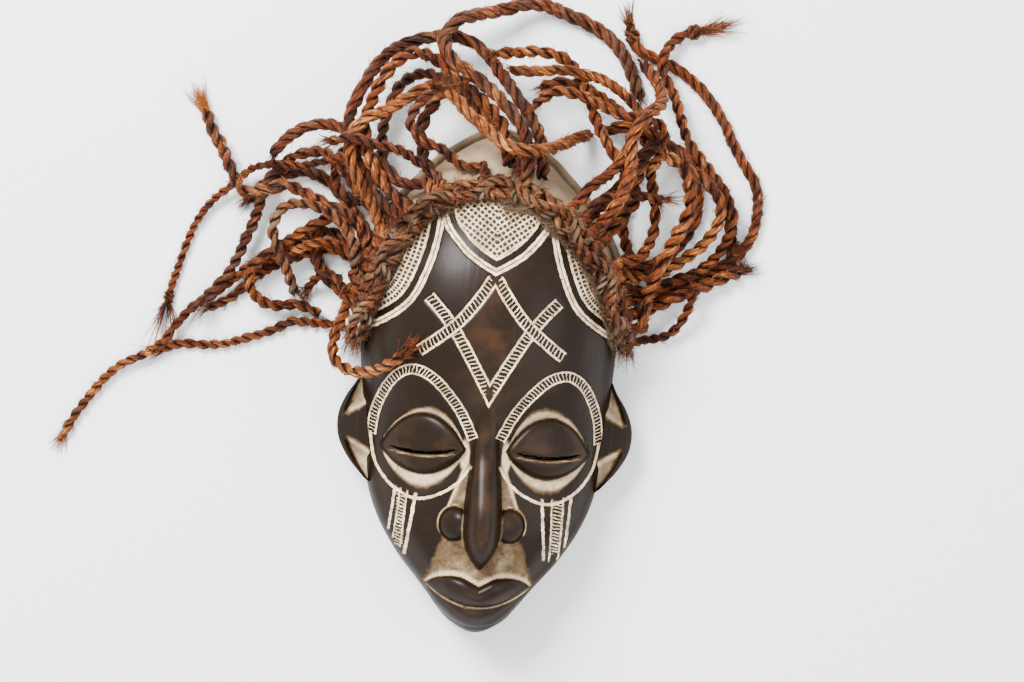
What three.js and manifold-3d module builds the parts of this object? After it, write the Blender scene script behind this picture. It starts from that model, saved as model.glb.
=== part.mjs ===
// A carved wooden face mask with a wig of twisted fibre ropes. It lies on its back rim, face up,
// with the ropes spread round the crown on the surface that it lies on.
// Millimetres. +X is the viewer's right, +Y runs from chin to crown and +Z from the rim to the nose.
// The origin is under the middle of the mask, on that surface.
import * as THREE from "three";
import { mergeVertices } from "three/addons/utils/BufferGeometryUtils.js";
import Module from "manifold-3d";

const wasm = await Module();
wasm.setup();

// Driving dimensions of the mask
const maskLength = 302; // chin to the crown's flange
const maskWidth = 153; // across the temples, without the ears
const maskDepth = 87; // back rim to the forehead
const wall = 9; // thickness of the shell at the back rim
const roof = 15; // thickness of the shell behind the forehead
const flangeWidth = 5; // ledge round the crown's foot
const flangeHeight = 6;
const earReach = 11; // how far an ear stands out past the temple's width
const earBottom = 5; // clear height under an ear
const slitLength = 38; // the opening between the lids
const slitHeight = 1.8;
const browBandWidth = 5.5; // carved bands over the eyes
const latticeBandWidth = 7; // carved bands on the forehead
const patchBandWidth = 6;
const cheekBandWidth = 11;
const bandDepth = 0.9; // how deep every carved band is cut

const slitBottom = 20; // the cut between the lids starts inside the hollow, at this height
const faceRows = 50; // faces of the shell, from chin to crown
const faceColumns = 40; // and from rim to rim
const hollowRows = 22;
const hollowColumns = 16;

// Driving dimensions of the ropes
const strandDiameter = 7.2; // the two ropes laid along the hairline
const tubeShare = 0.86; // a twisted rope's mean diameter as a share of the circle round it
const contactShare = 0.94; // how far fibre ropes press into each other where they touch
const nodeStep = 14; // spacing of the points along a rope
const tubeSides = 8; // faces round a rope

// The face keeps its proportions. Its places are written on a mask 153 wide, 302 long and 87 deep,
// and these three shares carry them to the sizes above.
const drawn = { halfWidth: 76.5, halfLength: 151, depth: 87 };
const across = maskWidth / 2 / drawn.halfWidth;
const along = maskLength / 2 / drawn.halfLength;
const deep = maskDepth / drawn.depth;

const chinEnd = -drawn.halfLength;
const crownEnd = drawn.halfLength - flangeWidth;
const sectionPower = 2.3; // 2 would be an ellipse, and more is squarer
const fullReliefHeight = 15; // relief fades out below this height, towards the rim

// Half width of the mask against y, from chin to crown
const outlinePoints = [
  [chinEnd, 0], [-144, 15.5], [-136, 23.5], [-127, 30.5], [-118, 38], [-108, 46.5], [-98, 53.5],
  [-87, 60], [-75, 65.2], [-62, 68.8], [-45, 71], [-25, 73], [-2, 75], [20, 76.4], [45, 76.5],
  [67, 74], [86, 67], [99, 59.5], [110, 51], [120.5, 41], [132.5, 28], [crownEnd, 0],
];
// Height of the mask's middle line against y, from chin to crown, without the nose and the lips
const crestPoints = [
  [chinEnd, 0], [-149.5, 22], [-145, 39], [-134, 53], [-119, 61], [-98, 64], [-75, 66], [-50, 69],
  [-25, 75], [0, 81], [30, 86], [58, 86], [82, 80], [102, 69.5], [118, 55.5], [131.5, 39], [142, 19.5],
  [crownEnd, 0],
];

// Points of a smooth curve through the given ones, with round ends on the axis
function roundEnded(points, perStep) {
  const mirrored = ([a, b]) => [a, -b];
  const list = [mirrored(points[1]), ...points, mirrored(points[points.length - 2])];
  const curve = new THREE.SplineCurve(list.map(([a, b]) => new THREE.Vector2(a, b)));
  const spans = list.length - 1;
  const samples = [];
  for (let k = perStep; k <= (spans - 1) * perStep; k++) {
    samples.push(curve.getPoint(k / (spans * perStep)));
  }
  return samples;
}

// The second value of a sampled curve at a first value
function lookUp(samples, a) {
  let low = 0;
  let high = samples.length - 1;
  if (a <= samples[low].x || a >= samples[high].x) return 0;
  while (high - low > 1) {
    const middle = (low + high) >> 1;
    if (samples[middle].x <= a) low = middle;
    else high = middle;
  }
  const share = (a - samples[low].x) / (samples[high].x - samples[low].x);
  return samples[low].y + share * (samples[high].y - samples[low].y);
}

const outlineSamples = roundEnded(outlinePoints, 16);
const crestSamples = roundEnded(crestPoints, 16);
const halfWidth = (y) => lookUp(outlineSamples, y);
const crest = (y) => lookUp(crestSamples, y);

// A smooth hill: 1 at the middle and 0 from q = 1 outwards
const hill = (q) => (q < 1 ? (1 - q * q) ** 2 : 0);
// A rounded boss with a crisp foot: 1 at the middle and 0 from q = 1 outwards
const boss = (q) => (Math.abs(q) < 1 ? Math.sqrt(1 - q * q) : 0);

// The eye: a hollow with a closed lid that bulges out of it
const eye = { x: 36.4, y: -40.3, half: 25, upper: 20, lower: 14.2, lidHeight: 10.5 };
const socket = { x: 37.5, y: -36, across: 33, along: 33, depth: 8.5 };
function eyeRelief(a, y) {
  const fromSocket = Math.hypot((a - socket.x) / socket.across, (y - socket.y) / socket.along);
  const hollow = -socket.depth * hill(fromSocket);
  const t = (a - eye.x) / eye.half;
  if (Math.abs(t) >= 1) return hollow;
  const arch = (1 - t * t) ** 0.85;
  const v = (y - eye.y) / (arch * (y > eye.y ? eye.upper : eye.lower));
  return hollow + eye.lidHeight * boss(v) * Math.sqrt(1 - t * t);
}

// The nose: a narrow ridge that widens to a drop-shaped tip, with a round wing on each side
const noseWidths = [
  [-12, 0], [-22, 5], [-30, 6.6], [-42, 7.6], [-57, 9.2], [-70, 10.3], [-82, 11], [-92, 10.3], [-99, 7.9],
  [-104.5, 4.4], [-109, 0],
];
const noseHeights = [
  [-12, 0], [-22, 1.4], [-30, 3], [-42, 7], [-57, 11.5], [-70, 15.5], [-82, 19], [-92, 21.5], [-99, 20.5],
  [-105, 15], [-109, 0],
];
const upward = (points) => roundEnded([...points].reverse(), 12);
const noseWidthSamples = upward(noseWidths);
const noseHeightSamples = upward(noseHeights);
const wing = { x: 16, y: -83, across: 8.8, along: 10, height: 8.5 };
const noseFlank = { y: -74, across: 22, along: 34, height: 6 };
function noseRelief(a, y) {
  const half = lookUp(noseWidthSamples, y);
  const ridge = a < half ? lookUp(noseHeightSamples, y) * (1 - (a / half) ** 2.4) ** 0.5 : 0;
  const side = wing.height * boss(Math.hypot((a - wing.x) / wing.across, (y - wing.y) / wing.along));
  const fromFlank = Math.hypot(a / noseFlank.across, (y - noseFlank.y) / noseFlank.along);
  return noseFlank.height * hill(fromFlank) + Math.max(ridge, side);
}

// The mouth: a full upper lip with a notch in it, over a lower lip that runs down to the chin
const mouth = { half: 30.5, corner: -120, sag: 11.5, upperHeight: 6.5, lowerDrop: 13, lowerHeight: 5 };
const lipTopPoints = [
  [0, -119.3], [5, -116.6], [10, -114.3], [17, -113.7], [24, -115.2], [28.5, -117.7], [30.5, -119.9],
];
const planCurve = (points) => new THREE.SplineCurve(points.map(([x, y]) => new THREE.Vector2(x, y)));
const lipTopSamples = planCurve(lipTopPoints).getPoints(36);
const mouthLine = (a) => mouth.corner - mouth.sag * (1 - (a / mouth.half) ** 2);
const underNose = { y: -104, across: 30, along: 14, depth: 2.5 };
function mouthRelief(a, y) {
  const fromHollow = Math.hypot(a / underNose.across, (y - underNose.y) / underNose.along);
  const hollow = -underNose.depth * hill(fromHollow);
  if (a >= mouth.half) return hollow;
  const taper = (1 - (a / mouth.half) ** 2) ** 0.35;
  const line = mouthLine(a);
  const top = a > 0 ? lookUp(lipTopSamples, a) : lipTopPoints[0][1];
  const bottom = line - mouth.lowerDrop * taper;
  const share = (from, to) => Math.max(0, Math.sin((Math.PI * (y - from)) / (to - from)));
  if (y > line && y < top) return hollow + mouth.upperHeight * taper * share(line, top) ** 0.45;
  if (y <= line && y > bottom) return hollow + mouth.lowerHeight * taper * share(line, bottom) ** 0.6;
  return hollow;
}

const cheek = { x: 42, y: -86, across: 24, along: 26, height: 3 };
function cheekRelief(a, y) {
  return cheek.height * hill(Math.hypot((a - cheek.x) / cheek.across, (y - cheek.y) / cheek.along));
}

// Height of the plain shell over the rim, and of the carved face, at a drawn place
function shellHeight(x, y) {
  const w = halfWidth(y);
  const s = Math.abs(x) / w;
  return s < 1 ? crest(y) * (1 - s ** sectionPower) ** (1 / sectionPower) : 0;
}
function faceHeight(x, y) {
  const base = shellHeight(x, y);
  const a = Math.abs(x);
  const carving = eyeRelief(a, y) + noseRelief(a, y) + mouthRelief(a, y) + cheekRelief(a, y);
  return base + carving * Math.min(1, base / fullReliefHeight);
}

// A solid from a geometry that is closed, whatever its normals and uvs say
function solid(geometry) {
  const bare = geometry.clone();
  for (const name of ["normal", "uv"]) bare.deleteAttribute(name);
  const merged = mergeVertices(bare, 1e-3);
  return new wasm.Manifold(
    new wasm.Mesh({
      numProp: 3,
      vertProperties: merged.attributes.position.array,
      triVerts: new Uint32Array(merged.index.array),
    }),
  );
}

// A three.js geometry from a solid
function geometryOf(body) {
  const mesh = body.getMesh();
  const geometry = new THREE.BufferGeometry();
  geometry.setAttribute("position", new THREE.BufferAttribute(new Float32Array(mesh.vertProperties), 3));
  geometry.setIndex(new THREE.BufferAttribute(new Uint32Array(mesh.triVerts), 1));
  geometry.computeVertexNormals();
  return geometry;
}

// A geometry from a list of corners and a list of triangles
function meshed(corners, triangles) {
  const geometry = new THREE.BufferGeometry();
  geometry.setAttribute("position", new THREE.BufferAttribute(new Float32Array(corners.flat()), 3));
  geometry.setIndex(triangles.flat());
  return geometry;
}

// A dome over a flat base: rows run from the chin's pole to the crown's, columns from rim to rim
function dome(rows, columns, place) {
  const corners = [place(0, 0)];
  for (let i = 1; i < rows; i++) {
    for (let j = 0; j <= columns; j++) corners.push(place(i / rows, columnPlace((2 * j) / columns - 1)));
  }
  corners.push(place(1, 0));
  const last = corners.length - 1;
  const at = (i, j) => (i === 0 ? 0 : i === rows ? last : 1 + (i - 1) * (columns + 1) + j);
  const triangles = [];
  const quad = (a, b, c, d) => {
    if (a !== b) triangles.push([a, b, c]);
    if (c !== d) triangles.push([a, c, d]);
  };
  for (let i = 0; i < rows; i++) {
    for (let j = 0; j < columns; j++) quad(at(i, j), at(i, j + 1), at(i + 1, j + 1), at(i + 1, j));
    quad(at(i, columns), at(i, 0), at(i + 1, 0), at(i + 1, columns));
  }
  return meshed(corners, triangles);
}

// Columns stand closest over the nose, and follow the curve of the sides down to the rim
const middleCrowding = 0.75;
const columnPlace = (v) => Math.sin((Math.PI / 2) * (middleCrowding * v + (1 - middleCrowding) * v ** 3));
const rowY = (t) => outlineSamples[Math.round(t * (outlineSamples.length - 1))].x;

function outerShell(rows, columns) {
  return dome(rows, columns, (t, s) => {
    const y = rowY(t);
    const x = s * halfWidth(y);
    return [x * across, y * along, faceHeight(x, y) * deep];
  });
}

// The hollow behind the face, sunk a little through the rim so that it opens there
const sunk = 2;
function hollow(rows, columns) {
  const narrow = (maskWidth / 2 - wall) / (maskWidth / 2);
  const short = (maskLength / 2 - flangeWidth - wall) / (maskLength / 2 - flangeWidth);
  const low = (maskDepth - roof + sunk) / maskDepth;
  return dome(rows, columns, (t, s) => {
    const y = rowY(t);
    const x = s * halfWidth(y);
    return [x * across * narrow, y * along * short, shellHeight(x, y) * deep * low - sunk];
  });
}

// The ledge round the crown's foot, which fades into the temples
const flangeStart = 18;
const flangeFull = 70;
function flange() {
  const fade = (y) => Math.min(1, Math.max(0, (y - flangeStart) / (flangeFull - flangeStart)));
  const right = outlineSamples.filter((p) => p.x > flangeStart).filter((_, k) => k % 6 === 0);
  const edge = right.map((p, k) => {
    const before = right[Math.max(0, k - 1)];
    const after = right[Math.min(right.length - 1, k + 1)];
    const normal = new THREE.Vector2((after.x - before.x) * along, (before.y - after.y) * across).normalize();
    const out = flangeWidth * fade(p.x) - 0.5 * (1 - fade(p.x));
    return new THREE.Vector2(p.y * across + normal.x * out, p.x * along + normal.y * out);
  });
  const top = new THREE.Vector2(0, maskLength / 2);
  const left = edge.map((p) => new THREE.Vector2(-p.x, p.y)).reverse();
  const plan = new THREE.Shape([...edge, top, ...left]);
  return new THREE.ExtrudeGeometry(plan, { depth: flangeHeight, bevelEnabled: false });
}

// A slab whose plan runs between two edges, with a carved top and a flat bottom
function slab(rows, columns, yAt, innerX, outerX, topZ, bottomZ) {
  const corners = [];
  for (const layer of [topZ, () => bottomZ]) {
    for (let i = 0; i <= rows; i++) {
      const y = yAt(i / rows);
      for (let j = 0; j <= columns; j++) {
        const x = innerX + ((outerX(y) - innerX) * j) / columns;
        corners.push([x, y, layer(x, y, j / columns)]);
      }
    }
  }
  const size = (rows + 1) * (columns + 1);
  const at = (layer, i, j) => layer * size + i * (columns + 1) + j;
  const triangles = [];
  const quad = (a, b, c, d) => triangles.push([a, b, c], [a, c, d]);
  for (let i = 0; i < rows; i++) {
    for (let j = 0; j < columns; j++) {
      quad(at(0, i, j), at(0, i, j + 1), at(0, i + 1, j + 1), at(0, i + 1, j));
      quad(at(1, i, j), at(1, i + 1, j), at(1, i + 1, j + 1), at(1, i, j + 1));
    }
    quad(at(0, i, 0), at(0, i + 1, 0), at(1, i + 1, 0), at(1, i, 0));
    quad(at(0, i, columns), at(1, i, columns), at(1, i + 1, columns), at(0, i + 1, columns));
  }
  for (let j = 0; j < columns; j++) {
    quad(at(0, 0, j), at(1, 0, j), at(1, 0, j + 1), at(0, 0, j + 1));
    quad(at(0, rows, j), at(0, rows, j + 1), at(1, rows, j + 1), at(1, rows, j));
  }
  return meshed(corners, triangles);
}

// An ear: a rim that bows out from the temple, round two hollows with a pointed boss between them
const ear = { low: -64, high: 4, inner: 60, middle: -31, rimHeight: 23, sunk: 7, rootRise: 12 };
const earBow = [0, 0.42, 0.72, 0.93, 1, 0.94, 0.72, 0.36, 0];
const earCurve = roundEnded(
  earBow.map((share, k) => [ear.low + ((ear.high - ear.low) * k) / (earBow.length - 1), share]), 8);
function earEdge(y) {
  const face = halfWidth(y) - 3;
  return face + (drawn.halfWidth + earReach - face) * Math.max(0.02, lookUp(earCurve, y));
}
function earTop(x, y) {
  const edge = earEdge(y);
  const face = halfWidth(y);
  const v = Math.min(1, Math.max(0, (x - face + 4) / (edge - face + 4)));
  const fromMiddle = Math.abs(y - ear.middle) / (ear.high - ear.middle);
  const rim = THREE.MathUtils.smoothstep(v, 0.62, 0.86);
  const boss = 1 - THREE.MathUtils.smoothstep(fromMiddle, 0.12 + 0.3 * (1 - v), 0.3 + 0.34 * (1 - v));
  const raised = Math.max(rim, boss);
  return ear.rimHeight - ear.sunk * (1 - raised) + ear.rootRise * Math.max(0, 0.35 - v);
}
function earSolid() {
  const rows = 16;
  const yAt = (t) => ear.low + (ear.high - ear.low) * t;
  const right = slab(rows, 7, yAt, ear.inner, earEdge, earTop, earBottom / deep);
  return solid(right.scale(across, along, deep));
}

// A plate that stands upright on a plan outline
function upright(outline, bottom, top) {
  const options = { depth: top - bottom, bevelEnabled: false };
  return solid(new THREE.ExtrudeGeometry(new THREE.Shape(outline), options).translate(0, 0, bottom));
}

// The slit between the lids, cut right through the shell
const slitSag = 2.8;
function slit() {
  const steps = 10;
  const line = (t) => (eye.y - slitSag * (1 - t * t)) * along;
  const edge = (side) => (k) => {
    const t = (2 * k) / steps - 1;
    const gape = (slitHeight / 2) * Math.max(0.15, 1 - t ** 4);
    return new THREE.Vector2(eye.x * across + (t * slitLength) / 2, line(t) + side * gape);
  };
  const places = [...Array(steps + 1).keys()];
  return upright([...places.map(edge(-1)), ...places.reverse().map(edge(1))], slitBottom, 1.1 * maskDepth);
}

// The middle lines of the carved bands on the right half of the face, mirrored onto the left
const bands = [
  { width: latticeBandWidth, line: [[-1.5, 62], [2, 57], [9, 46], [19, 33.5], [30, 24], [41, 15.5]] },
  { width: latticeBandWidth, line: [[-1.5, -12.5], [2, -6.5], [10, 9], [20, 26], [29, 38], [37, 47]] },
  { width: latticeBandWidth, line: [[-1, 62.5], [7, 67.5], [15.5, 74], [22.5, 81.5], [28, 91.5]] },
  {
    width: browBandWidth,
    line: [[7.5, -34], [15.5, -18.5], [25, -6], [34.5, 2], [44, 5], [52, 2], [59, -6], [65, -20]],
  },
  { width: patchBandWidth, line: [[34, 91], [36.5, 76], [41, 61], [47, 47.5], [55, 38], [66, 30.5]] },
  { width: cheekBandWidth, line: [[43.5, -68], [44, -80], [44.5, -92]] },
];
function carvedBand({ width, line }) {
  const curve = new THREE.SplineCurve(line.map(([x, y]) => new THREE.Vector2(x * across, y * along)));
  const count = 2 * line.length;
  const points = curve.getSpacedPoints(count);
  const corners = [];
  points.forEach((p, k) => {
    const tangent = curve.getTangentAt(k / count);
    for (const side of [-0.5, 0.5]) {
      const x = p.x - tangent.y * width * side;
      const y = p.y + tangent.x * width * side;
      const face = faceHeight(x / across, y / along) * deep;
      corners.push([x, y, face - bandDepth], [x, y, face + 6]);
    }
  });
  const triangles = [];
  const quad = (a, b, c, d) => triangles.push([a, b, c], [a, c, d]);
  for (let k = 0; k < count; k++) {
    const [a, b, c, d] = [0, 1, 2, 3].map((n) => 4 * k + n);
    quad(a, c, c + 4, a + 4);
    quad(b, b + 4, d + 4, d);
    quad(a, a + 4, b + 4, b);
    quad(c, d, d + 4, c + 4);
  }
  const end = 4 * count;
  quad(0, 1, 3, 2);
  quad(end, end + 2, end + 3, end + 1);
  return solid(meshed(corners, triangles));
}

function woodenMask() {
  let body = solid(outerShell(faceRows, faceColumns)).add(solid(flange()));
  const right = earSolid();
  body = body.add(right).add(right.mirror([1, 0, 0]));
  const cuts = [slit(), ...bands.map(carvedBand)];
  for (const cut of cuts) body = body.subtract(cut).subtract(cut.mirror([1, 0, 0]));
  return body.subtract(solid(hollow(hollowRows, hollowColumns)));
}

// The ropes. Plan points are as chosen from the way real ones lie; heights are worked out below.
const hairline = [
  [-80, 20], [-76.5, 34], [-72, 46], [-67.5, 58], [-62, 70], [-55, 82], [-47, 93], [-36.5, 101.5],
  [-21, 108.5], [-4.5, 112], [10, 111], [24, 105.5], [35.5, 97], [46, 87], [55.5, 75.5],
  [64, 63], [70.5, 50], [76, 37], [80.5, 24],
].map(([x, y]) => [x * across, y * along]);

// Free ropes, lowest in the pile first, each from its root at the hairline to its far end
const freeRopes = [
  {
    name: "rope_left_long_pair",
    d: 6,
    line: [
      [-83, 67], [-93, 72], [-102, 73], [-112, 69], [-122, 65], [-131, 61], [-140, 55], [-148, 48],
      [-154, 42], [-161, 37], [-169, 34],
    ],
  },
  {
    name: "rope_left_cross_dark",
    d: 7.5,
    line: [
      [-75, 81], [-81, 91], [-89, 101], [-96, 110], [-106, 116], [-118, 119], [-129, 115], [-138, 110],
      [-147, 100],
    ],
  },
  {
    name: "rope_right_lower_arch",
    d: 7,
    line: [
      [82, 78], [78, 89], [77, 100], [79, 111], [83, 122], [87, 133], [89, 144], [84, 154], [75, 162],
      [64, 170], [53, 176], [42, 180], [32, 180], [23, 176],
    ],
  },
  {
    name: "rope_right_inner_hoop",
    d: 8,
    line: [
      [79, 70], [92, 72], [101, 77], [109, 84], [116, 94], [120, 104], [121, 117], [117, 127],
      [110, 138], [101, 145], [93, 151], [84, 155], [74, 156], [65, 153],
    ],
  },
  {
    name: "rope_crown_low_arc",
    d: 7,
    line: [
      [10.3, 123.8], [8, 133], [3, 142], [-4, 151], [-13, 159], [-22, 167], [-31, 174], [-41, 179],
      [-51, 179], [-59, 174], [-64, 166], [-67, 157], [-69.5, 148], [-70, 139], [-69, 130], [-67, 120],
      [-65, 111], [-63, 104],
    ],
  },
  {
    name: "rope_left_dark_arch",
    d: 7,
    line: [
      [-79, 66], [-84, 73], [-89, 79], [-96, 83], [-104, 84], [-112, 80], [-120, 75], [-128, 69],
      [-136, 64], [-144, 61],
    ],
  },
  {
    name: "rope_left_dark_drop",
    d: 8,
    line: [
      [-88, 47], [-93, 51], [-99, 57], [-104, 64], [-106, 72], [-106, 81], [-103, 89],
    ],
  },
  {
    name: "rope_left_inner_drop",
    d: 7,
    line: [
      [-65, 96], [-73, 100], [-82, 103], [-90, 105], [-96, 110], [-97, 118], [-95, 126], [-92, 133],
    ],
  },
  {
    name: "rope_crown_dark_lock",
    d: 8,
    line: [
      [-39, 117], [-43, 125], [-46, 134], [-47, 144], [-44, 154], [-39, 163], [-33, 172],
    ],
  },
  {
    name: "rope_right_mid_fall",
    d: 8,
    line: [
      [55, 100], [65, 110], [74, 121], [80, 131], [88, 140], [98, 144], [108, 141], [118, 134],
      [127, 125], [135, 116], [140, 106], [142, 96], [142, 88],
    ],
  },
  {
    name: "rope_left_low",
    d: 6,
    line: [
      [-91.4, 28], [-105, 28.5], [-112, 29], [-118, 28.5], [-124, 25], [-133, 21.5], [-140, 19],
      [-148, 16.5], [-155, 14], [-163, 12.5], [-172, 12], [-180, 12.5], [-188, 11], [-195, 8],
    ],
  },
  {
    name: "rope_left_long",
    d: 6,
    line: [
      [-78.8, 64.6], [-86, 71], [-92, 75], [-98, 77], [-104, 76], [-112, 73], [-122, 69], [-132, 66],
      [-140, 63], [-147, 59], [-153, 53], [-159, 47], [-166, 42], [-175, 36], [-183, 28], [-189, 19],
      [-195, 11], [-202, 6], [-210, 2], [-218, -2], [-224, -7], [-230, -14], [-236, -22], [-242, -31],
      [-248, -40], [-251, -47],
    ],
  },
  {
    name: "rope_left_loop",
    d: 7,
    line: [
      [-102, 34], [-108, 37], [-114, 39], [-121, 38], [-129, 37.5], [-137, 40], [-143, 46], [-145, 54],
      [-141.5, 62], [-134, 68], [-124, 75], [-115, 81], [-106, 87], [-97, 91], [-88, 92], [-72, 78.7],
    ],
  },
  {
    name: "rope_left_climb",
    d: 7,
    line: [
      [-63.7, 92], [-73, 98], [-80, 105], [-86, 112], [-91, 119], [-97, 126], [-104, 130], [-112, 130],
      [-120, 127], [-128, 122], [-134, 115], [-138, 107], [-140, 99], [-142, 92], [-144, 85],
      [-147, 78], [-150, 70], [-153, 62], [-157, 54], [-163, 47], [-170, 40],
    ],
  },
  {
    name: "rope_left_thin",
    d: 5,
    line: [
      [-54.2, 103.8], [-70, 112], [-78, 121], [-88, 126], [-99, 125], [-110, 122], [-119, 121],
      [-128, 121], [-137, 121], [-144, 119], [-150, 115], [-156, 109], [-162, 104], [-168, 99],
      [-173, 93], [-178, 85], [-182, 75], [-185, 65], [-188, 55], [-191, 45], [-193, 35],
    ],
  },
  {
    name: "rope_left_orange",
    d: 8,
    line: [
      [-75.6, 71.5], [-79, 86], [-85, 91], [-91, 95], [-98, 98], [-105, 100], [-112, 104], [-118, 107],
      [-124, 109], [-130, 108], [-136, 106], [-142, 104], [-149, 104], [-154, 109], [-158, 117],
      [-161, 124], [-165, 131], [-170, 139], [-174, 146], [-176, 152],
    ],
  },
  {
    name: "rope_left_arch",
    d: 7.5,
    line: [
      [-42, 113.2], [-53, 111], [-59, 116], [-65, 120], [-71, 124], [-77, 129], [-82, 135], [-88, 141],
      [-95, 144], [-102, 146], [-110, 145], [-117, 143], [-123, 139], [-129, 133], [-134, 126],
    ],
  },
  {
    name: "rope_crown_outer_arc",
    d: 8,
    line: [
      [-70, 103], [-77, 112], [-83, 122], [-87, 132], [-89, 141], [-89, 150], [-87, 158], [-84, 165],
      [-81, 172], [-77, 179], [-72, 186], [-66, 192], [-59, 196], [-51, 199], [-43, 201], [-35, 202],
      [-27, 202], [-19, 199], [-13, 195], [-8, 189], [-3, 183], [2, 177], [7, 170], [12, 164],
      [16, 157], [20, 150], [23, 143], [24, 136], [25.2, 118.9],
    ],
  },
  {
    name: "rope_crown_inner_arc",
    d: 8,
    line: [
      [-65, 109], [-72, 119], [-77, 129], [-79.5, 139], [-79.5, 148], [-77, 158], [-74, 167],
      [-70, 175], [-65, 182], [-59, 187.5], [-51, 190], [-43, 188], [-36, 183], [-30, 178], [-24, 173],
      [-18, 168], [-12, 163], [-6, 157], [-1, 151], [3, 144], [4.1, 124.3],
    ],
  },
  {
    name: "rope_big_arch",
    d: 8.5,
    line: [
      [16.4, 122.3], [15, 139], [12, 147], [7, 154], [1, 161], [-6, 168], [-14, 175], [-22, 180],
      [-29, 185], [-35, 192], [-36, 201], [-32, 208], [-26, 212], [-19, 215], [-11, 217], [-4, 219],
      [2, 222], [10, 224], [18, 225], [26, 224], [34, 221], [42, 219], [49, 216], [56, 213], [63, 208],
      [69, 202], [74, 195], [77, 188], [80, 181], [83, 173],
    ],
  },
  {
    name: "rope_front_swag",
    d: 7.5,
    line: [
      [-68, 85.5], [-72, 97], [-79, 108], [-85, 119], [-88, 131], [-86, 141], [-80, 148], [-73, 151],
      [-66, 155], [-60, 159], [-53, 164], [-46, 168], [-39, 169], [-32, 166], [-27, 161], [-21, 155],
      [-16, 151], [-10, 146], [-4, 141], [1, 137], [8, 134], [15, 133], [22, 134], [29, 136], [35, 139],
      [41, 143], [47, 147], [54, 150],
    ],
  },
  {
    name: "rope_crown_lock_left",
    d: 6.5,
    line: [
      [-8.8, 124.3], [-20, 123], [-26, 127], [-31, 131], [-37, 134], [-43, 136], [-49, 139], [-53, 145],
      [-53, 152], [-49, 158], [-44, 163], [-39, 168],
    ],
  },
  {
    name: "rope_crown_sweep_left",
    d: 6.5,
    line: [
      [-35.1, 116.3], [-45, 123], [-50, 127], [-56, 130], [-63, 132], [-70, 133], [-77, 134],
      [-84, 136], [-91, 137], [-100, 134],
    ],
  },
  {
    name: "rope_right_tall_arch",
    d: 7.5,
    line: [
      [64, 85.6], [72, 98], [78, 104], [81, 112], [80, 119], [75, 126], [70, 133], [65, 140], [60, 148],
      [56, 156], [53, 165], [50, 173], [46, 181], [40, 188], [33, 193], [25, 195], [17, 195], [9, 194],
      [1, 193], [-6, 192],
    ],
  },
  {
    name: "rope_right_inner_arch",
    d: 7,
    line: [
      [45.5, 105.4], [54, 116], [60, 121], [66, 126], [71, 132], [74, 139], [77, 146], [80, 154],
      [80, 162], [76, 169], [69, 173.5], [62, 178], [56, 181], [49, 183], [42, 183], [35, 184],
      [28, 185], [21, 184], [14, 182], [4, 183],
    ],
  },
  {
    name: "rope_right_weave",
    d: 7,
    line: [
      [73.2, 72.6], [80, 73], [86, 77], [89, 81], [92, 87], [93, 94], [94, 101], [94, 108], [92, 115],
      [90, 122], [90, 129], [92, 135], [95.5, 141], [97, 148], [94, 154], [87, 157.5], [79, 158],
      [71, 159], [62, 162], [55, 166], [47, 169], [39, 171], [31, 171], [25, 168], [19, 163],
    ],
  },
  {
    name: "rope_right_outer",
    d: 7,
    line: [
      [83.8, 51.9], [98, 53], [108, 58], [117, 62], [124, 66], [131, 70], [138, 75], [144, 80],
      [150, 85], [154, 92], [156, 99], [157, 107], [157, 115], [156, 123], [152, 131], [147, 138],
      [142, 146], [138, 154], [134, 162], [129, 169], [124, 176], [118, 182], [112, 187], [106, 191],
      [100, 194], [93, 197], [86, 199], [80, 203], [76, 210], [75, 217],
    ],
  },
  {
    name: "rope_right_dark_end",
    d: 8,
    line: [
      [87, 44.4], [101, 50], [109, 54.5], [117, 58.5], [125, 61.5], [133, 65], [141, 69.5], [150, 73],
    ],
  },
  {
    name: "rope_right_brush",
    d: 7,
    line: [
      [80.6, 58.8], [94, 57], [103, 62], [111, 66], [119, 69], [126, 73], [132, 79], [137, 86],
      [140, 93], [142, 101], [141, 110], [136, 118], [130, 126], [124, 133], [118, 140], [113, 147],
      [109, 155], [107, 163], [105, 170], [102, 177], [98, 184], [95, 191], [96, 199], [99, 206],
      [105, 211], [112, 214], [120, 216],
    ],
  },
  {
    name: "rope_right_hoop",
    d: 7.5,
    line: [
      [77.1, 65.8], [86, 65], [94, 67], [100, 69], [106, 73], [112, 77], [119, 82], [125, 88],
      [130, 95], [133, 104], [132, 112], [128, 119], [121, 125], [113, 129], [105, 133], [97, 137],
    ],
  },
  {
    name: "rope_right_thick",
    d: 9,
    line: [
      [90.1, 35.9], [91, 48], [93, 55], [95, 62], [97, 69], [100, 76], [104, 83], [107, 90], [110, 97],
      [113, 105], [114, 113], [112, 120], [110, 127], [107, 133],
    ],
  },
  {
    name: "rope_right_low",
    d: 6,
    line: [
      [92.8, 28.3], [101, 30], [108, 33], [113, 38], [116, 44], [119, 51], [120, 58],
    ],
  },
  {
    name: "rope_right_inner_end",
    d: 6.5,
    line: [
      [52, 99.2], [59, 108], [65, 111], [71, 112], [77, 112], [84, 112], [91, 112], [98, 111],
    ],
  },
  {
    name: "rope_right_blunt",
    d: 8,
    line: [
      [58.7, 92], [69, 106], [73, 115], [76, 125], [76, 135], [76, 145], [79, 153], [85, 160],
      [92, 166], [95, 173], [92, 181], [87, 187], [84, 194],
    ],
  },
  {
    name: "rope_left_fringe",
    d: 7,
    line: [
      [-84.1, 50.8], [-85, 40], [-93, 14], [-88, 6], [-80, 2], [-72, 1], [-65, 3], [-58, 7], [-50, 13],
    ],
  },
  {
    name: "rope_left_curl",
    d: 7,
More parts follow.
